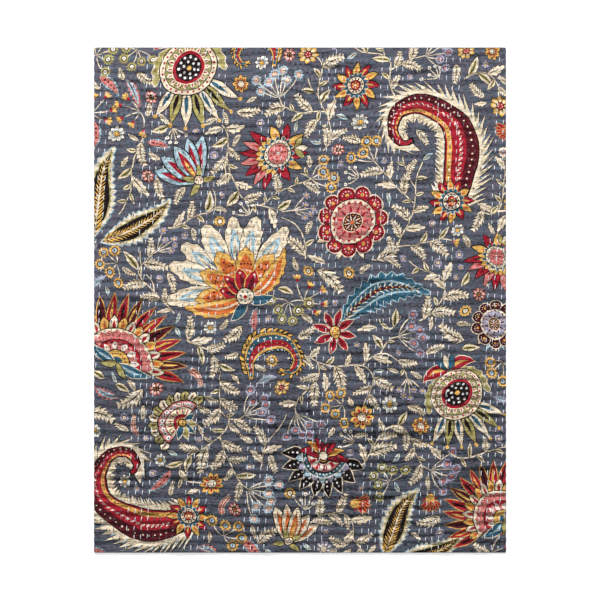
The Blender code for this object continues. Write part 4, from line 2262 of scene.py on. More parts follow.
@dataclass
class QuiltCloth:
    """The quilt's cloth: printed face, thin turned edge and plain back, as one closed mesh.

    Rooms are how far points keep from the rim or from a seam. Spans are a size and a start on the UV map.
    """

    relief: Relief
    block: Block
    inset: float = 0.0006
    rows_per_pucker: int = 6
    columns: int = 84
    edge_columns: int = 90
    edge_points_per_pucker: int = 5
    back_columns: int = 31
    back_rows_per_pucker: int = 2
    lean: float = 0.045
    slant_room: float = 0.045
    grid_room: Point = (0.0012, 0.0008)
    back_room: Point = (0, 0.001)
    seam_room: float = 0.5
    back_join: float = 0.0001
    face_span: Point = (0.78, 0.005)
    back_span: Point = (0.19, 0.8)
    up_span: Point = (0.965, 0.015)

    def half(self) -> Point:
        """Half the width and half the length of the flat part of the face."""
        return (self.relief.width / 2 - self.inset, self.relief.length / 2 - self.inset)

    def within(self, x: Numbers, y: Numbers, room: Point) -> Numbers:
        """Which places lie this far inside the rim."""
        half = self.half()
        return (np.abs(x) < half[0] - room[0]) & (np.abs(y) < half[1] - room[1])

    def grid(self) -> Numbers:
        """Points that carry the relief: lines of them along the puckers, staggered from line to line.

        Returns:
            X and Y of each point in metres.
        """
        relief = self.relief
        rows = relief.puckers * self.rows_per_pucker
        y = -relief.length / 2 + relief.length * np.arange(1, rows) / rows
        step = relief.width / self.columns
        x = np.arange(-relief.width / 2 - self.slant_room, relief.width / 2 + self.slant_room, step)
        gx, gy = np.meshgrid(x, y)
        gx = gx + np.where(np.arange(rows - 1) % 2, step / 2, 0)[:, None] + self.lean * gy
        gy = gy + relief.drift(gx, gy)
        inside = self.within(gx, gy, self.grid_room)
        return np.stack([gx[inside], gy[inside]], axis=1)

    def rim(self) -> Numbers:
        """The rim of the printed face, counter-clockwise, with close points along the sides.

        Returns:
            X and Y of each point in metres.
        """
        hx, hy = self.half()
        across = np.linspace(-hx, hx, self.edge_columns)[:-1]
        along = np.linspace(-hy, hy, self.relief.puckers * self.edge_points_per_pucker)[:-1]
        return np.concatenate([
            np.stack([across, np.full_like(across, -hy)], axis=1),
            np.stack([np.full_like(along, hx), along], axis=1),
            np.stack([-across, np.full_like(across, hy)], axis=1),
            np.stack([np.full_like(along, -hx), -along], axis=1),
        ])

    def face(self) -> tuple[Numbers, Numbers, Numbers]:
        """The printed face, flat: points in metres, triangles, and the place in the table of each one's dye.

        Returns:
            The points, the triangles and the places in the table.
        """
        areas = PrintedAreas(self.block.areas, tuple(half * MM for half in self.half()))
        seam_points, seam_edges = areas.seams()
        LOG.info("print: %d areas, %d points on their seams", len(areas.shapes), len(seam_points))
        tree = KDTree(len(seam_points))
        for i, (x, y) in enumerate(seam_points.tolist()):
            tree.insert((x, y, 0), i)
        tree.balance()
        grid = (self.grid() * MM).tolist()
        free = [point for point in grid if tree.find((*point, 0))[2] > self.seam_room]
        rim = self.rim() * MM
        n = len(rim)
        edges = ring_edges(n) + [(a + n, b + n) for a, b in seam_edges]
        places, tris = triangulated(np.concatenate([rim, seam_points, free]), edges, areas.JOIN)
        return places / MM, tris, areas.inks_at(places[tris].mean(axis=1))

    def underside(self, rim: Numbers) -> tuple[Numbers, Numbers]:
        """The plain underside, flat: points in metres and triangles. Its first points are the rim's.

        Args:
            rim: The rim of the face.

        Returns:
            The points and the triangles.
        """
        relief = self.relief
        rows = relief.puckers * self.back_rows_per_pucker
        y = -relief.length / 2 + relief.length * np.arange(1, rows) / rows
        x = np.linspace(-0.5, 0.5, self.back_columns) * (relief.width - 4 * relief.hem)
        gx, gy = np.meshgrid(x, y)
        gy = gy + relief.drift(gx, gy)
        inside = self.within(gx, gy, self.back_room)
        points = np.concatenate([rim, np.stack([gx[inside], gy[inside]], axis=1)]) * MM
        n = len(rim)
        places, tris = triangulated(points, ring_edges(n), self.back_join)
        return places / MM, tris

    def outward(self, rim: Numbers) -> Numbers:
        """The way out of the cloth at each point of its rim."""
        reach = np.abs(rim)
        return unit(np.sign(rim) * (np.abs(reach - reach.max(axis=0)) < TINY))

    def build(self) -> Object:
        """Raises the flat face on its relief, turns the edge under and closes the back.

        Returns:
            The cloth.
        """
        relief = self.relief
        flat, tris, inks = self.face()
        x, y = flat[:, 0], flat[:, 1]
        points = [np.stack([relief.drawn_in(x, y), y, relief.face(x, y)], axis=1)]
        normals = [relief.normals(relief.puckered, x, y)]
        loop = boundary(tris)
        edge = points[0][loop]
        outward = self.outward(flat[loop])
        for ring in EDGE_RINGS:
            turned = edge[:, :2] + outward * self.inset * ring.out
            points.append(np.column_stack([turned, edge[:, 2] * ring.rise]))
            normals.append(unit(np.column_stack([outward, np.full(len(loop), ring.lean)])))
        low, low_tris = self.underside(flat[loop])
        x, y = low[:, 0], low[:, 1]
        points.append(np.stack([relief.drawn_in(x, y), y, relief.back(x, y)], axis=1))
        normals.append(-relief.normals(relief.back, x, y))

        count = len(flat)
        faces = [tris]
        inner = loop
        for k in range(len(EDGE_RINGS) + 1):
            outer = count + k * len(loop) + np.arange(len(loop))
            faces.append(np.stack([inner, outer, np.roll(outer, -1)], axis=1))
            faces.append(np.stack([inner, np.roll(outer, -1), np.roll(inner, -1)], axis=1))
            inner = outer
        first_under = int(inner[0])
        edge_faces = sum(len(part) for part in faces) - len(inks)
        dyes = np.concatenate([inks, np.zeros(edge_faces, int), np.full(len(low_tris), len(Ink))])
        faces.append(low_tris[:, ::-1] + first_under)
        verts = np.concatenate(points)
        piece = mesh_piece("quilt_cloth", verts, np.concatenate(faces), np.concatenate(normals))
        self.colour(piece, dyes)
        self.note_relief(piece, verts)
        self.lay_out(piece, verts, first_under)
        return piece

    @staticmethod
    def colour(piece: Object, dyes: Numbers) -> None:
        """Writes the dye of each face to its corners.

        Args:
            piece: The cloth.
            dyes: A place in the table of dyes for each face.
        """
        table = np.array([*(albedo(*ink.value) for ink in Ink), albedo(*BACK_TONE)])
        colours = np.ones((len(dyes) * 3, 4))
        colours[:, :3] = np.repeat(table[dyes], 3, axis=0)
        layer = piece.data.color_attributes.new("dye", "FLOAT_COLOR", "CORNER")
        layer.data.foreach_set("color", colours.ravel())

    def note_relief(self, piece: Object, points: Numbers) -> None:
        """Writes how high on its pucker, and how deep in millimetres in a crease, each point lies.

        Args:
            piece: The cloth.
            points: Its points.
        """
        x, y = points[:, 0], points[:, 1]
        calm = fade(self.relief.length / 2 - np.abs(y), 0, self.relief.end_calm)
        # The printed cotton paints shade from crest and fold. Near the two ends the crest is eased to
        # end_crest, which evens out that painted shade there.
        point_values(piece, "crest", self.relief.end_crest * (1 - calm) + self.relief.crest(x, y) * calm)
        point_values(piece, "fold", self.relief.creased(x, y) * MM)

    def lay_out(self, piece: Object, points: Numbers, first_under: int) -> None:
        """Lays the face and, beside it, the underside out flat in a UV map.

        Args:
            piece: The cloth.
            points: Its points.
            first_under: The first point of its underside.
        """
        share_x = points[:, 0] / self.relief.width
        share_y = points[:, 1] / self.relief.length
        (face, face_start), (up, up_start) = self.face_span, self.up_span
        uv = np.stack([(share_x + 0.5) * face + face_start, (share_y + 0.5) * up + up_start], axis=1)
        uv[first_under:, 0] = (0.5 - share_x[first_under:]) * self.back_span[0] + self.back_span[1]
        corners = np.zeros(len(piece.data.loops), dtype=np.int32)
        piece.data.loops.foreach_get("vertex_index", corners)
        layer = piece.data.uv_layers.new(name="OFBake")
        layer.data.foreach_set("uv", uv[corners].astype(np.float32).ravel())


def mesh_piece(name: str, points: Numbers, faces: Numbers, normals: Numbers | None = None) -> Object:
    """A smooth mesh object in the scene.

    Args:
        name: Its name.
        points: Its points.
        faces: Its faces, all with the same number of corners.
        normals: The normals at its points, where it has its own.

    Returns:
        The object.
    """
    mesh = bpy.data.meshes.new(name)
    mesh.vertices.add(len(points))
    mesh.vertices.foreach_set("co", points.astype(np.float32).ravel())
    mesh.loops.add(faces.size)
    mesh.loops.foreach_set("vertex_index", faces.astype(np.int32).ravel())
    mesh.polygons.add(len(faces))
    mesh.polygons.foreach_set("loop_start", np.arange(0, faces.size, faces.shape[1], dtype=np.int32))
    mesh.update(calc_edges=True)
    mesh.shade_smooth()
    if normals is not None:
        mesh.normals_split_custom_set_from_vertices(normals.astype(np.float32))
    piece = bpy.data.objects.new(name, mesh)
    bpy.context.scene.collection.objects.link(piece)
    LOG.info("%s: %d faces", name, len(faces))
    return piece


def point_values(piece: Object, name: str, values: Numbers) -> None:
    """Writes one number for each point of a piece."""
    piece.data.attributes.new(name, "FLOAT", "POINT").data.foreach_set("value", values.astype(np.float32))


class Side(Enum):
    """The side of the cloth that a stitch lies on, and how far along each pucker it lies there."""

    FACE = 0.5
    BACK = 1


@dataclass(frozen=True)
class StitchShape:
    """One running stitch in metres, and how finely it is made.

    Its ends sink into the cloth, and its middle is seated a share of its height above it. The bluntness and
    the bow say how square its swell and its rise are.
    """

    length: float
    width: float
    height: float
    rings: int
    sides: int
    sink: float = 0.0007
    seat: float = 0.36
    thin_end: float = 0.18
    bluntness: float = 3.2
    bow: float = 5

    def swell(self) -> Numbers:
        """Share of the full thickness at each ring."""
        full = np.clip(1 - np.abs(np.linspace(-1, 1, self.rings)) ** self.bluntness, 0, 1)
        return np.sqrt(full) * (1 - self.thin_end) + self.thin_end

    def faces(self) -> Numbers:
        """Triangles of one stitch: its wall and its two ends.

        Returns:
            Three points for each triangle.
        """
        tris = []
        n = self.sides
        for ring in range(self.rings - 1):
            for j in range(n):
                a, b = ring * n + j, ring * n + (j + 1) % n
                tris += [(a, b + n, b), (a, a + n, b + n)]
        last = (self.rings - 1) * n
        for j in range(1, n - 1):
            tris += [(0, j, j + 1), (last, last + j + 1, last + j)]
        return np.array(tris)


class StitchPlace(NamedTuple):
    """Where one stitch lies, its lean in radians, its length in metres and its share of the full width."""

    x: float
    y: float
    lean: float
    length: float
    wide: float


@dataclass
class RunningStitch:
    """All the running stitches of one thread on one side of the cloth, as one piece.

    Slips are shares of a pucker, the stray is in metres, and the lean is a mean and a spread in radians.
    """

    name: str
    relief: Relief
    rows: Rows
    shape: StitchShape
    thread: Thread
    side: Side
    seed: int
    side_room: float = 0.003
    end_room: float = 0.0022
    ahead: float = 0.1
    row_slip: float = 0.05
    slip: float = 0.07
    stray: float = 0.00035
    lengths: Point = (0.86, 1.12)
    lean: Point = (0.02, 0.07)
    widths: Point = (0.88, 1.12)

    def places(self) -> list[StitchPlace]:
        """A stitch over each crest that a row crosses, laid by hand.

        Returns:
            The places.
        """
        draws = random.Random(self.seed)
        relief, found = self.relief, []
        for place in self.rows.places(self.thread):
            start = draws.uniform(-self.row_slip, self.row_slip)
            for k in range(relief.puckers):
                slip = draws.uniform(-self.slip, self.slip)
                y = (k + self.side.value + self.ahead + start + slip) * relief.pitch - relief.length / 2
                x = self.rows.x_at(place, y) + draws.gauss(0, self.stray)
                y += float(relief.drift(np.array(x), np.array(y)))
                length = self.shape.length * draws.uniform(*self.lengths)
                lean = self.rows.lean + draws.gauss(*self.lean)
                wide = draws.uniform(*self.widths)
                off_side = abs(x) > relief.width / 2 - self.side_room
                if not off_side and abs(y) < relief.length / 2 - self.end_room - length / 2:
                    found.append(StitchPlace(x, y, lean, length, wide))
        return found

    def heights(self, x: Numbers, y: Numbers) -> Numbers:
        """Height of each stitch's middle line. It bows out of the cloth or lies on the floor, and ends in it.

        Args:
            x: X along each stitch.
            y: Y along each stitch.

        Returns:
            The heights.
        """
        shape = self.shape
        bow = (1 - np.abs(np.linspace(-1, 1, shape.rings)) ** shape.bow)[None, :, None]
        if self.side is Side.FACE:
            return self.relief.face(x, y) + shape.height * shape.seat * bow - shape.sink * (1 - bow)
        return shape.height / 2 + shape.sink * (1 - bow)

    def build(self) -> Object:
        """Makes every stitch a bowed thread.

        Returns:
            The piece.
        """
        shape = self.shape
        mid_x, mid_y, lean, length, wide = (line[:, None, None] for line in np.array(self.places()).T)
        turn = np.arange(shape.sides) / shape.sides
        swell = shape.swell()[None, :, None]
        along = np.linspace(-0.5, 0.5, shape.rings)[None, :, None] * length
        across = shape.width / 2 * swell * wide * np.cos(2 * np.pi * turn)
        lift = shape.height / 2 * swell * np.sin(2 * np.pi * turn) + np.zeros_like(across)
        line_x, line_y = mid_x + along * np.sin(lean), mid_y + along * np.cos(lean)
        heights = self.heights(line_x, line_y)
        points = [line_x + across * np.cos(lean), line_y - across * np.sin(lean), heights + lift]
        count, per = len(mid_x), shape.rings * shape.sides
        faces = (shape.faces()[None] + per * np.arange(count)[:, None, None]).reshape(-1, 3)
        piece = mesh_piece(self.name, np.stack(points, axis=3).reshape(-1, 3), faces)
        point_values(piece, "run", (along + np.zeros_like(across)).ravel() * MM)
        point_values(piece, "around", (turn + np.zeros_like(across)).ravel())
        tones = np.random.default_rng(self.seed).uniform(0, 1, count)
        point_values(piece, "tone", np.repeat(tones, per))
        LOG.info("%s: %d stitches", self.name, count)
        return piece


# Tones of the plain underside and of the threads, and the share of a tone that the studio light gives back.
BACK_TONE = (104, 108, 122)
WHITE_TONE = (240, 246, 252)
SLATE_TONE = (76, 79, 92)
LIGHT_SHARE = 0.82


def albedo(red: float, green: float, blue: float) -> Colour:
    """A dye's albedo from the tone that it shows under the studio light, 0 to 255, by the sRGB curve."""
    shares = (value / 255 for value in (red, green, blue))
    return tuple(LIGHT_SHARE * (((v + 0.055) / 1.055) ** 2.4 if v > 0.04045 else v / 12.92) for v in shares)


Input = Union[NodeSocket, float, Colour]
GRAIN_ROUGHNESS = 0.55


class Noise(NamedTuple):
    """A noise: its turns for each metre, its detail and its roughness."""

    scale: float
    detail: float = 2
    rough: float = 0.5


class Nodes:
    """Short ways to place nodes in one tree. An input is a socket that is linked, or a value."""

    def __init__(self, tree: NodeTree) -> None:
        """Keeps the tree."""
        self.tree = tree

    def add(self, kind: str, inputs: dict[Union[int, str], Input], **settings: object) -> Node:
        """A new node.

        Args:
            kind: Its type, without the words that all shader nodes start with.
            inputs: Its inputs, by name or number.
            settings: Its settings.

        Returns:
            The node.
        """
        node = self.tree.nodes.new("ShaderNode" + kind)
        for name, value in settings.items():
            setattr(node, name, value)
        self.feed(node, inputs)
        return node

    def feed(self, node: Node, inputs: dict[Union[int, str], Input]) -> None:
        """Links or sets inputs of a node, by name or number.

        Args:
            node: The node.
            inputs: Sockets and values.
        """
        for key, value in inputs.items():
            if isinstance(value, NodeSocket):
                self.tree.links.new(value, node.inputs[key])
            else:
                node.inputs[key].default_value = value

    def math(self, operation: str, *terms: Input) -> NodeSocket:
        """Result of a Math node."""
        return self.add("Math", dict(enumerate(terms)), operation=operation).outputs[0]

    def times(self, a: Input, b: Input) -> NodeSocket:
        """One number times another."""
        return self.math("MULTIPLY", a, b)

    def times_plus(self, a: Input, b: Input, c: Input) -> NodeSocket:
        """One number times another, plus a third."""
        return self.math("MULTIPLY_ADD", a, b, c)

    def vector(self, operation: str, *terms: Input) -> NodeSocket:
        """Result of a Vector Math node."""
        return self.add("VectorMath", dict(enumerate(terms)), operation=operation).outputs[0]

    def scaled(self, colour: Input, gain: Input) -> NodeSocket:
        """A colour times a number."""
        return self.add("VectorMath", {0: colour, "Scale": gain}, operation="SCALE").outputs[0]

    def mix(self, share: Input, a: Input, b: Input, blend: str = "MIX") -> NodeSocket:
        """Two colours mixed."""
        return self.add("Mix", {0: share, 6: a, 7: b}, data_type="RGBA", blend_type=blend).outputs[2]

    def ramp(self, value: Input, low: Point, high: Point) -> NodeSocket:
        """A value that goes smoothly from one number to another, given as (value, result) at both ends."""
        ends = {"Value": value, "From Min": low[0], "To Min": low[1], "From Max": high[0], "To Max": high[1]}
        return self.add("MapRange", ends, interpolation_type="SMOOTHSTEP").outputs[0]

    def noise(self, place: Input, noise: Noise, output: int | str = 0) -> NodeSocket:
        """A noise, as a number or as a colour."""
        inputs = {"Vector": place, "Scale": noise.scale, "Detail": noise.detail, "Roughness": noise.rough}
        return self.add("TexNoise", inputs).outputs[output]

    def grain(self, place: Input, scale: Point, detail: float = 2) -> NodeSocket:
        """Noise from 0 to 1 that is stretched: its turns for each metre across and along."""
        return self.noise(self.vector("MULTIPLY", place, (*scale, 1)), Noise(1, detail, GRAIN_ROUGHNESS))

    def bent(self, place: Input, scale: float, reach: float) -> NodeSocket:
        """Places that are shifted by up to a reach, so that what is drawn on them isn't straight."""
        return self.vector("MULTIPLY_ADD", self.noise(place, Noise(scale), "Color"), (reach, reach, 0), place)

    def attribute(self, name: str, output: str = "Fac") -> NodeSocket:
        """What a mesh attribute says."""
        return self.add("Attribute", {}, attribute_name=name).outputs[output]

    def group(self, tree: NodeTree, inputs: dict[str, Input]) -> NodeOutputs:
        """Places a node group, and gives its outputs."""
        return self.add("Group", inputs, node_tree=tree).outputs


class Socket(Enum):
    """Kinds of socket."""

    NUMBER = "NodeSocketFloat"
    COLOUR = "NodeSocketColor"
    VECTOR = "NodeSocketVector"


@dataclass(frozen=True)
class Effect:
    """A shader effect that finishes share, as a node group with named inputs and outputs."""

    name: ClassVar[str]
    inputs: ClassVar[dict[str, Socket]]
    outputs: ClassVar[dict[str, Socket]]

    def build(self) -> NodeTree:
        """The node group.

        Returns:
            The group.
        """
        tree = bpy.data.node_groups.new(self.name, "ShaderNodeTree")
        for label, kind in self.inputs.items():
            tree.interface.new_socket(label, in_out="INPUT", socket_type=kind.value)
        for label, kind in self.outputs.items():
            tree.interface.new_socket(label, in_out="OUTPUT", socket_type=kind.value)
        nodes = Nodes(tree)
        results = self.draw(nodes, tree.nodes.new("NodeGroupInput").outputs)
        nodes.feed(tree.nodes.new("NodeGroupOutput"), results)
        return tree

    def draw(self, nodes: Nodes, given: NodeOutputs) -> dict[str, NodeSocket]:
        """Makes the group's nodes.

        Args:
            nodes: Places them.
            given: The group's inputs.

        Returns:
            The socket for each output.
        """
        raise NotImplementedError


@dataclass(frozen=True)
class PlainWeave(Effect):
    """Over and under threads, as a height and as a tone: the tone follows the height, which paints shade into
    the hollows between threads, and slubs vary it from thread to thread.
    """

    name = "plain_weave"
    inputs = {"Place": Socket.VECTOR, "Threads": Socket.NUMBER, "Slub": Socket.NUMBER}
    outputs = {"Height": Socket.NUMBER, "Tone": Socket.NUMBER}
    bend_scale: float = 60
    bend: float = 0.002
    thread_noise: float = 900
    slub_noise: float = 14
    ridge_share: float = 0.6
    over_share: float = 0.4
    hollow_painted_shade: float = 0.35

    def draw(self, nodes: Nodes, given: NodeOutputs) -> dict[str, NodeSocket]:
        """Crosses two sets of threads and thickens some of them.

        Args:
            nodes: Places the nodes.
            given: The group's inputs.

        Returns:
            The socket for each output.
        """
        bent = nodes.bent(given["Place"], self.bend_scale, self.bend)
        split = nodes.add("SeparateXYZ", {0: bent}).outputs
        counts = [nodes.times(split[i], given["Threads"]) for i in (0, 1)]
        turns = [nodes.times(count, math.pi) for count in counts]
        over = nodes.times(*(nodes.math("COSINE", turn) for turn in turns))
        ridge = nodes.math("MAXIMUM", *(nodes.math("ABSOLUTE", nodes.math("SINE", turn)) for turn in turns))
        height = nodes.times(over, self.over_share)
        height = nodes.times_plus(ridge, self.ridge_share, height)
        up = nodes.grain(bent, (self.thread_noise, self.slub_noise), 1)
        along = nodes.grain(bent, (self.slub_noise, self.thread_noise), 1)
        slubs = nodes.times(nodes.math("SUBTRACT", nodes.math("ADD", up, along), 1), given["Slub"])
        return {
            "Height": nodes.math("ADD", height, slubs),
            # Painted shade: the tone is darker where the weave is low, in the hollows between threads.
            "Tone": nodes.times_plus(height, self.hollow_painted_shade, slubs),
        }


@dataclass(frozen=True)
class WashedDye(Effect):
    """A dye after many washes: slow blotches, fine mottling, and strong print that pooled as it dried."""

    name = "washed_dye"
    inputs = {
        "Place": Socket.VECTOR, "Dye": Socket.COLOUR, "Blotch": Socket.NUMBER, "Mottle": Socket.NUMBER,
        "Pool": Socket.NUMBER,
    }
    outputs = {"Colour": Socket.COLOUR, "Fade": Socket.NUMBER, "Print": Socket.NUMBER}
    slow: Noise = Noise(22, 3, 0.6)
    fast: Noise = Noise(330, 3, 0.65)
    hue: Noise = Noise(170, rough=0.6)
    pool: Noise = Noise(120, rough=0.6)
    gain_reach: float = 4
    teal: Colour = (0.8, 1.01, 1.1, 1)
    plum: Colour = (1.18, 0.97, 1.02, 1)
    pooled: Colour = (0.82, 0.68, 0.46, 1)
    print_ends: Ends = ((0.13, 0), (0.26, 1))
    hue_ends: Ends = ((0.3, 0), (0.7, 1))
    pool_ends: Ends = ((0.46, 0), (0.7, 1))
    print_calm: float = 0.85

    def draw(self, nodes: Nodes, given: NodeOutputs) -> dict[str, NodeSocket]:
        """Varies the dye's tone and hue, and pools it where it is strong.

        Args:
            nodes: Places the nodes.
            given: The group's inputs.

        Returns:
            The socket for each output.
        """
        place = given["Place"]
        slow, fast = nodes.noise(place, self.slow), nodes.noise(place, self.fast)
        blotch = nodes.times(nodes.math("SUBTRACT", slow, 0.5), given["Blotch"])
        mottle = nodes.times(nodes.math("SUBTRACT", fast, 0.5), given["Mottle"])
        gain = nodes.times_plus(nodes.math("ADD", blotch, mottle), self.gain_reach, 1)
        parts = nodes.add("SeparateColor", {0: given["Dye"]}).outputs
        strong = nodes.ramp(nodes.math("MAXIMUM", parts[0], parts[2]), *self.print_ends)
        hue = nodes.ramp(nodes.noise(place, self.hue), *self.hue_ends)
        tint = nodes.times_plus(strong, -self.print_calm, 1)
        toned = nodes.scaled(given["Dye"], gain)
        toned = nodes.mix(tint, toned, nodes.mix(1, toned, nodes.mix(hue, self.teal, self.plum), "MULTIPLY"))
        pool = nodes.ramp(nodes.noise(place, self.pool), *self.pool_ends)
        share = nodes.times(nodes.times(strong, pool), given["Pool"])
        pooled = nodes.mix(share, toned, nodes.mix(1, toned, self.pooled, "MULTIPLY"))
        return {"Colour": pooled, "Fade": slow, "Print": strong}


@dataclass(frozen=True)
class CrossWrinkles(Effect):
    """Small wrinkles that run across the rows of stitches: their height in metres and their deep lines, which
    the printed cotton darkens as painted shade.
    """

    name = "cross_wrinkles"
    inputs = {"Place": Socket.VECTOR, "Height": Socket.NUMBER}
    outputs = {"Height": Socket.NUMBER, "Line": Socket.NUMBER}
    bend_scale: float = 24
    bend: float = 0.01
    long_scale: Point = (34, 190)
    short_scale: Point = (110, 420)
    line_scale: Point = (34, 150)
    patch_scale: Point = (38, 90)
    patch_ends: Ends = ((0.42, 0), (0.56, 1))
    long_share: float = 1.3
    short_share: float = 0.55
    line_share: float = -0.35
    line_width: float = 0.055

    def draw(self, nodes: Nodes, given: NodeOutputs) -> dict[str, NodeSocket]:
        """Adds long and short wrinkles, and cuts thin lines in patches.

        Args:
            nodes: Places the nodes.
            given: The group's inputs.

        Returns:
            The socket for each output.
        """
        bent = nodes.bent(given["Place"], self.bend_scale, self.bend)
        off = nodes.math("ABSOLUTE", nodes.math("SUBTRACT", nodes.grain(bent, self.line_scale), 0.5))
        thin = nodes.ramp(off, (0, 1), (self.line_width, 0))
        line = nodes.times(thin, nodes.ramp(nodes.grain(bent, self.patch_scale), *self.patch_ends))
        total = nodes.times(nodes.grain(bent, self.short_scale), self.short_share)
        total = nodes.times_plus(nodes.grain(bent, self.long_scale), self.long_share, total)
        total = nodes.times_plus(line, self.line_share, total)
        return {"Height": nodes.times(total, given["Height"]), "Line": line}


class SharedEffects:
    """The node groups that the finishes share, each built once."""

    def __init__(self) -> None:
        """Builds them."""
        self.weave = PlainWeave().build()
        self.dye = WashedDye().build()
        self.wrinkles = CrossWrinkles().build()


def new_material(name: str) -> tuple[Material, Nodes, Node]:
    """A new material, its nodes and its shader.

    Args:
        name: Its name.

    Returns:
        All three.
    """
    material = bpy.data.materials.new(name)
    material.use_nodes = True
    return material, Nodes(material.node_tree), material.node_tree.nodes["Principled BSDF"]


@dataclass(frozen=True)
class PrintedCotton:
    """Soft washed cotton that takes its colour from the dye printed at each place, with painted shade in its
    pucker troughs, creases and wrinkle lines and painted light on its crests.
    """

    threads: float = 1800
    slub: float = 0.4
    weave_height: float = 0.00007
    wrinkle_height: float = 0.0018
    blotch: float = 0.05
    mottle: float = 0.09
    pool: float = 0.5
    sheen: float = 0.1
    sheen_roughness: float = 0.5
    specular: float = 0.18
    roughness: Point = (0.82, 0.97)
    upper: float = 0.02
    lower: float = -0.26
    upper_wrinkles: float = 0.58
    # Painted light and shade in the base colour: crests lighter, troughs darker, creases and wrinkle lines
    # darker.
    crest_painted_light: float = 0.27
    trough_painted_shade: Point = (0.84, 0.74)
    fold_shade: float = -0.5
    line_shade: float = -0.62
    thread_gain: Point = (0.22, 0.9)
    # On strong print the painted shade is pulled towards print_tone, so it shows less there.
    print_calm: float = 0.45
    print_tone: float = 1

    def build(self, effects: SharedEffects) -> Material:
        """The material.

        Args:
            effects: The node groups to use.

        Returns:
            The material.
        """
        material, nodes, shader = new_material("printed_cotton")
        place = nodes.add("TexCoord", {}).outputs["Object"]
        down = nodes.add("SeparateXYZ", {0: place}).outputs[1]
        weave = nodes.group(effects.weave, {"Place": place, "Threads": self.threads, "Slub": self.slub})
        dye = nodes.group(effects.dye, {
            "Place": place, "Dye": nodes.attribute("dye", "Color"), "Blotch": self.blotch,
            "Mottle": self.mottle, "Pool": self.pool,
        })
        share = nodes.ramp(down, (self.lower, 1), (self.upper, self.upper_wrinkles))
        wrinkles = nodes.group(effects.wrinkles, {
            "Place": place, "Height": nodes.times(share, self.wrinkle_height),
        })
        # Painted shade: darker in the pucker troughs and lighter on the crests, more so towards the lower
        # end, darker in the creases and along the wrinkle lines, and less of it on strong print.
        trough = nodes.ramp(down, (self.lower, self.trough_painted_shade[1]), (self.upper, self.trough_painted_shade[0]))
        tone = nodes.times_plus(nodes.attribute("crest"), self.crest_painted_light, trough)
        tone = nodes.times_plus(nodes.attribute("fold"), self.fold_shade, tone)
        lines = nodes.times(wrinkles["Line"], share)
        tone = nodes.times_plus(lines, self.line_shade, tone)
        calm = nodes.times(dye["Print"], self.print_calm)
        tone = nodes.times_plus(nodes.math("SUBTRACT", self.print_tone, tone), calm, tone)
        tone = nodes.times(tone, nodes.times_plus(weave["Tone"], *self.thread_gain))
        height = nodes.times_plus(weave["Height"], self.weave_height, wrinkles["Height"])
        nodes.feed(shader, {
            "Base Color": nodes.scaled(dye["Colour"], tone),
            "Roughness": nodes.ramp(dye["Fade"], (0, self.roughness[0]), (1, self.roughness[1])),
            "Normal": nodes.add("Bump", {"Strength": 1, "Distance": 1, "Height": height}).outputs[0],
            "Sheen Weight": self.sheen,
            "Sheen Roughness": self.sheen_roughness,
            "Specular IOR Level": self.specular,
        })
        return material


@dataclass(frozen=True)
class SewingThread:
    """Soft plied cotton thread."""

    thread: Thread
    tone: Colour
    plies: float = 1.7
    ply_height: float = 0.00012
    ply_shade: Point = (0.16, 0.8)
    own_shade: float = 0.1
    fuzz: Noise = Noise(4200, rough=0.6)
    fuzz_shade: Point = (0.2, 0.9)
    fuzz_height: float = 0.00004
    fuzz_rough: Point = (0.15, 0.75)
    sheen: float = 0.2

    def build(self) -> Material:
        """The material, with plies that twist round each stitch.

        Returns:
            The material.
        """
        material, nodes, shader = new_material(self.thread.value)
        fuzz = nodes.noise(nodes.add("TexCoord", {}).outputs["Object"], self.fuzz)
        run = nodes.times(nodes.attribute("run"), self.plies)
        twist = nodes.times_plus(nodes.attribute("around"), 2, run)
        ply = nodes.math("ABSOLUTE", nodes.math("SINE", nodes.times(twist, math.pi)))
        # Painted shade: ply_shade darkens the grooves between the plies.
        gain = nodes.times_plus(ply, *self.ply_shade)
        gain = nodes.times_plus(nodes.attribute("tone"), self.own_shade, gain)
        gain = nodes.times(gain, nodes.times_plus(fuzz, *self.fuzz_shade))
        height = nodes.times(fuzz, self.fuzz_height)
        height = nodes.times_plus(ply, self.ply_height, height)
        nodes.feed(shader, {
            "Base Color": nodes.scaled(albedo(*self.tone), gain),
            "Roughness": nodes.times_plus(fuzz, *self.fuzz_rough),
            "Normal": nodes.add("Bump", {"Strength": 1, "Distance": 1, "Height": height}).outputs[0],
            "Sheen Weight": self.sheen,
        })
        return material


class Lamp(NamedTuple):
    """A square lamp that faces the middle of the quilt: its name, place, size and power."""

    name: str
    place: tuple[float, float, float]
    size: float
    power: float


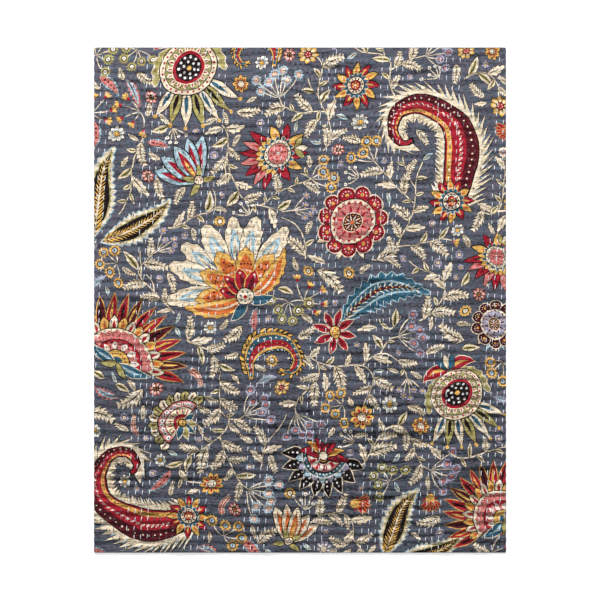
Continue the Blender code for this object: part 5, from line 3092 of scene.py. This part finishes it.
@dataclass(frozen=True)
class Studio:
    """The pale floor, the soft light from beyond the upper end, and the camera straight above."""

    lamps: tuple[Lamp, ...] = (
        Lamp("key_light", (-0.6, 3.2, 1.5), 0.8, 240),
        Lamp("fill_light", (0.9, -1.2, 2.6), 2.2, 10),
    )
    world_strength: float = 0.37
    floor_half: float = 6
    floor_drop: float = 0.0004
    floor_albedo: Colour = (0.93, 0.93, 0.93, 1)
    floor_glow: float = 0.35
    glow_colour: Colour = (1, 1, 1, 1)
    floor_roughness: float = 0.9
    view_width: float = 0.9011
    lens: float = 85
    sensor: float = 36
    cloth_top: float = 0.003

    def build(self) -> None:
        """Sets up the floor, the light and the camera."""
        self.lay_floor()
        self.light()
        self.set_camera()
        bpy.context.scene.view_settings.view_transform = "Standard"

    def lay_floor(self) -> None:
        """A wide, plain, pale floor."""
        ways = ((-1, -1), (1, -1), (1, 1), (-1, 1))
        corners = [(x * self.floor_half, y * self.floor_half, -self.floor_drop) for x, y in ways]
        floor = mesh_piece("studio_floor", np.array(corners), np.array([(0, 1, 2, 3)]))
        material, nodes, shader = new_material("studio_floor")
        nodes.feed(shader, {
            "Base Color": self.floor_albedo,
            "Roughness": self.floor_roughness,
            "Emission Color": self.glow_colour,
            "Emission Strength": self.floor_glow,
        })
        floor.data.materials.append(material)

    def light(self) -> None:
        """A low soft light that models the puckers, and an even fill."""
        world = bpy.data.worlds.new("studio_world")
        world.use_nodes = True
        sky = world.node_tree.nodes["Background"]
        sky.inputs["Color"].default_value = self.glow_colour
        sky.inputs["Strength"].default_value = self.world_strength
        bpy.context.scene.world = world
        for lamp in self.lamps:
            data = bpy.data.lights.new(lamp.name, "AREA")
            data.size = lamp.size
            data.energy = lamp.power
            light = bpy.data.objects.new(lamp.name, data)
            light.location = lamp.place
            light.rotation_euler = Vector(lamp.place).to_track_quat("Z", "Y").to_euler()
            bpy.context.scene.collection.objects.link(light)

    def set_camera(self) -> None:
        """Looks straight down, with +Y up in the frame."""
        data = bpy.data.cameras.new("camera")
        data.lens = self.lens
        data.sensor_width = self.sensor
        data.sensor_fit = "HORIZONTAL"
        camera = bpy.data.objects.new("camera", data)
        camera.location = (0, 0, self.view_width * self.lens / self.sensor + self.cloth_top)
        bpy.context.scene.collection.objects.link(camera)
        bpy.context.scene.camera = camera


class Finish(NamedTuple):
    """A material, and the name of the slot that it stands for."""

    material: Material
    slot: str


@dataclass
class KanthaQuilt:
    """The whole quilt: its printed cloth, and two threads of running stitch on its face and back."""

    width: float
    length: float
    cut: Point = (0.63, 0.78)
    front_white: StitchShape = StitchShape(0.0088, 0.0011, 0.0008, rings=9, sides=5)
    front_slate: StitchShape = StitchShape(0.0066, 0.00115, 0.0007, rings=6, sides=5)
    back: StitchShape = StitchShape(0.0062, 0.0011, 0.0006, rings=5, sides=4)

    def build(self) -> None:
        """Builds and dresses every piece, and hides the CAD part."""
        relief = Relief(self.width, self.length)
        block = PrintDesign((self.width * MM, self.length * MM)).block()
        cloth = QuiltCloth(relief, block).build()
        self.dress(cloth, Finish(PrintedCotton().build(SharedEffects()), "printed_cotton"))
        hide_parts("quilt")
        white = Finish(SewingThread(Thread.WHITE, WHITE_TONE).build(), Thread.WHITE.value)
        slate = Finish(SewingThread(Thread.SLATE, SLATE_TONE).build(), Thread.SLATE.value)
        rows = Rows()
        stitches = []
        for name, shape, thread, side, seed, finish in (
            ("running_stitch_white", self.front_white, Thread.WHITE, Side.FACE, 3, white),
            ("running_stitch_slate", self.front_slate, Thread.SLATE, Side.FACE, 4, slate),
            ("back_stitch_white", self.back, Thread.WHITE, Side.BACK, 5, white),
            ("back_stitch_slate", self.back, Thread.SLATE, Side.BACK, 6, slate),
        ):
            stitches.append(RunningStitch(name, relief, rows, shape, thread, side, seed).build())
            self.dress(stitches[-1], finish)

    @staticmethod
    def dress(piece: Object, finish: Finish) -> None:
        """Gives a piece its finish, and lets it ride on the quilt.

        Args:
            piece: The piece.
            finish: Its finish.
        """
        piece.data.materials.append(finish.material)
        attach(piece, "root")
        LOG.info("%s is dressed in %s", piece.name, finish.slot)


def main() -> None:
    """Builds the quilt to the size of the CAD part, and sets up its studio."""
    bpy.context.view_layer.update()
    low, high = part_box("quilt")
    KanthaQuilt(width=high[0] - low[0], length=high[1] - low[1]).build()
    LOG.info("the quilt is built")
    Studio().build()
    LOG.info("the studio is set up")


if __name__ == "__main__":
    main()
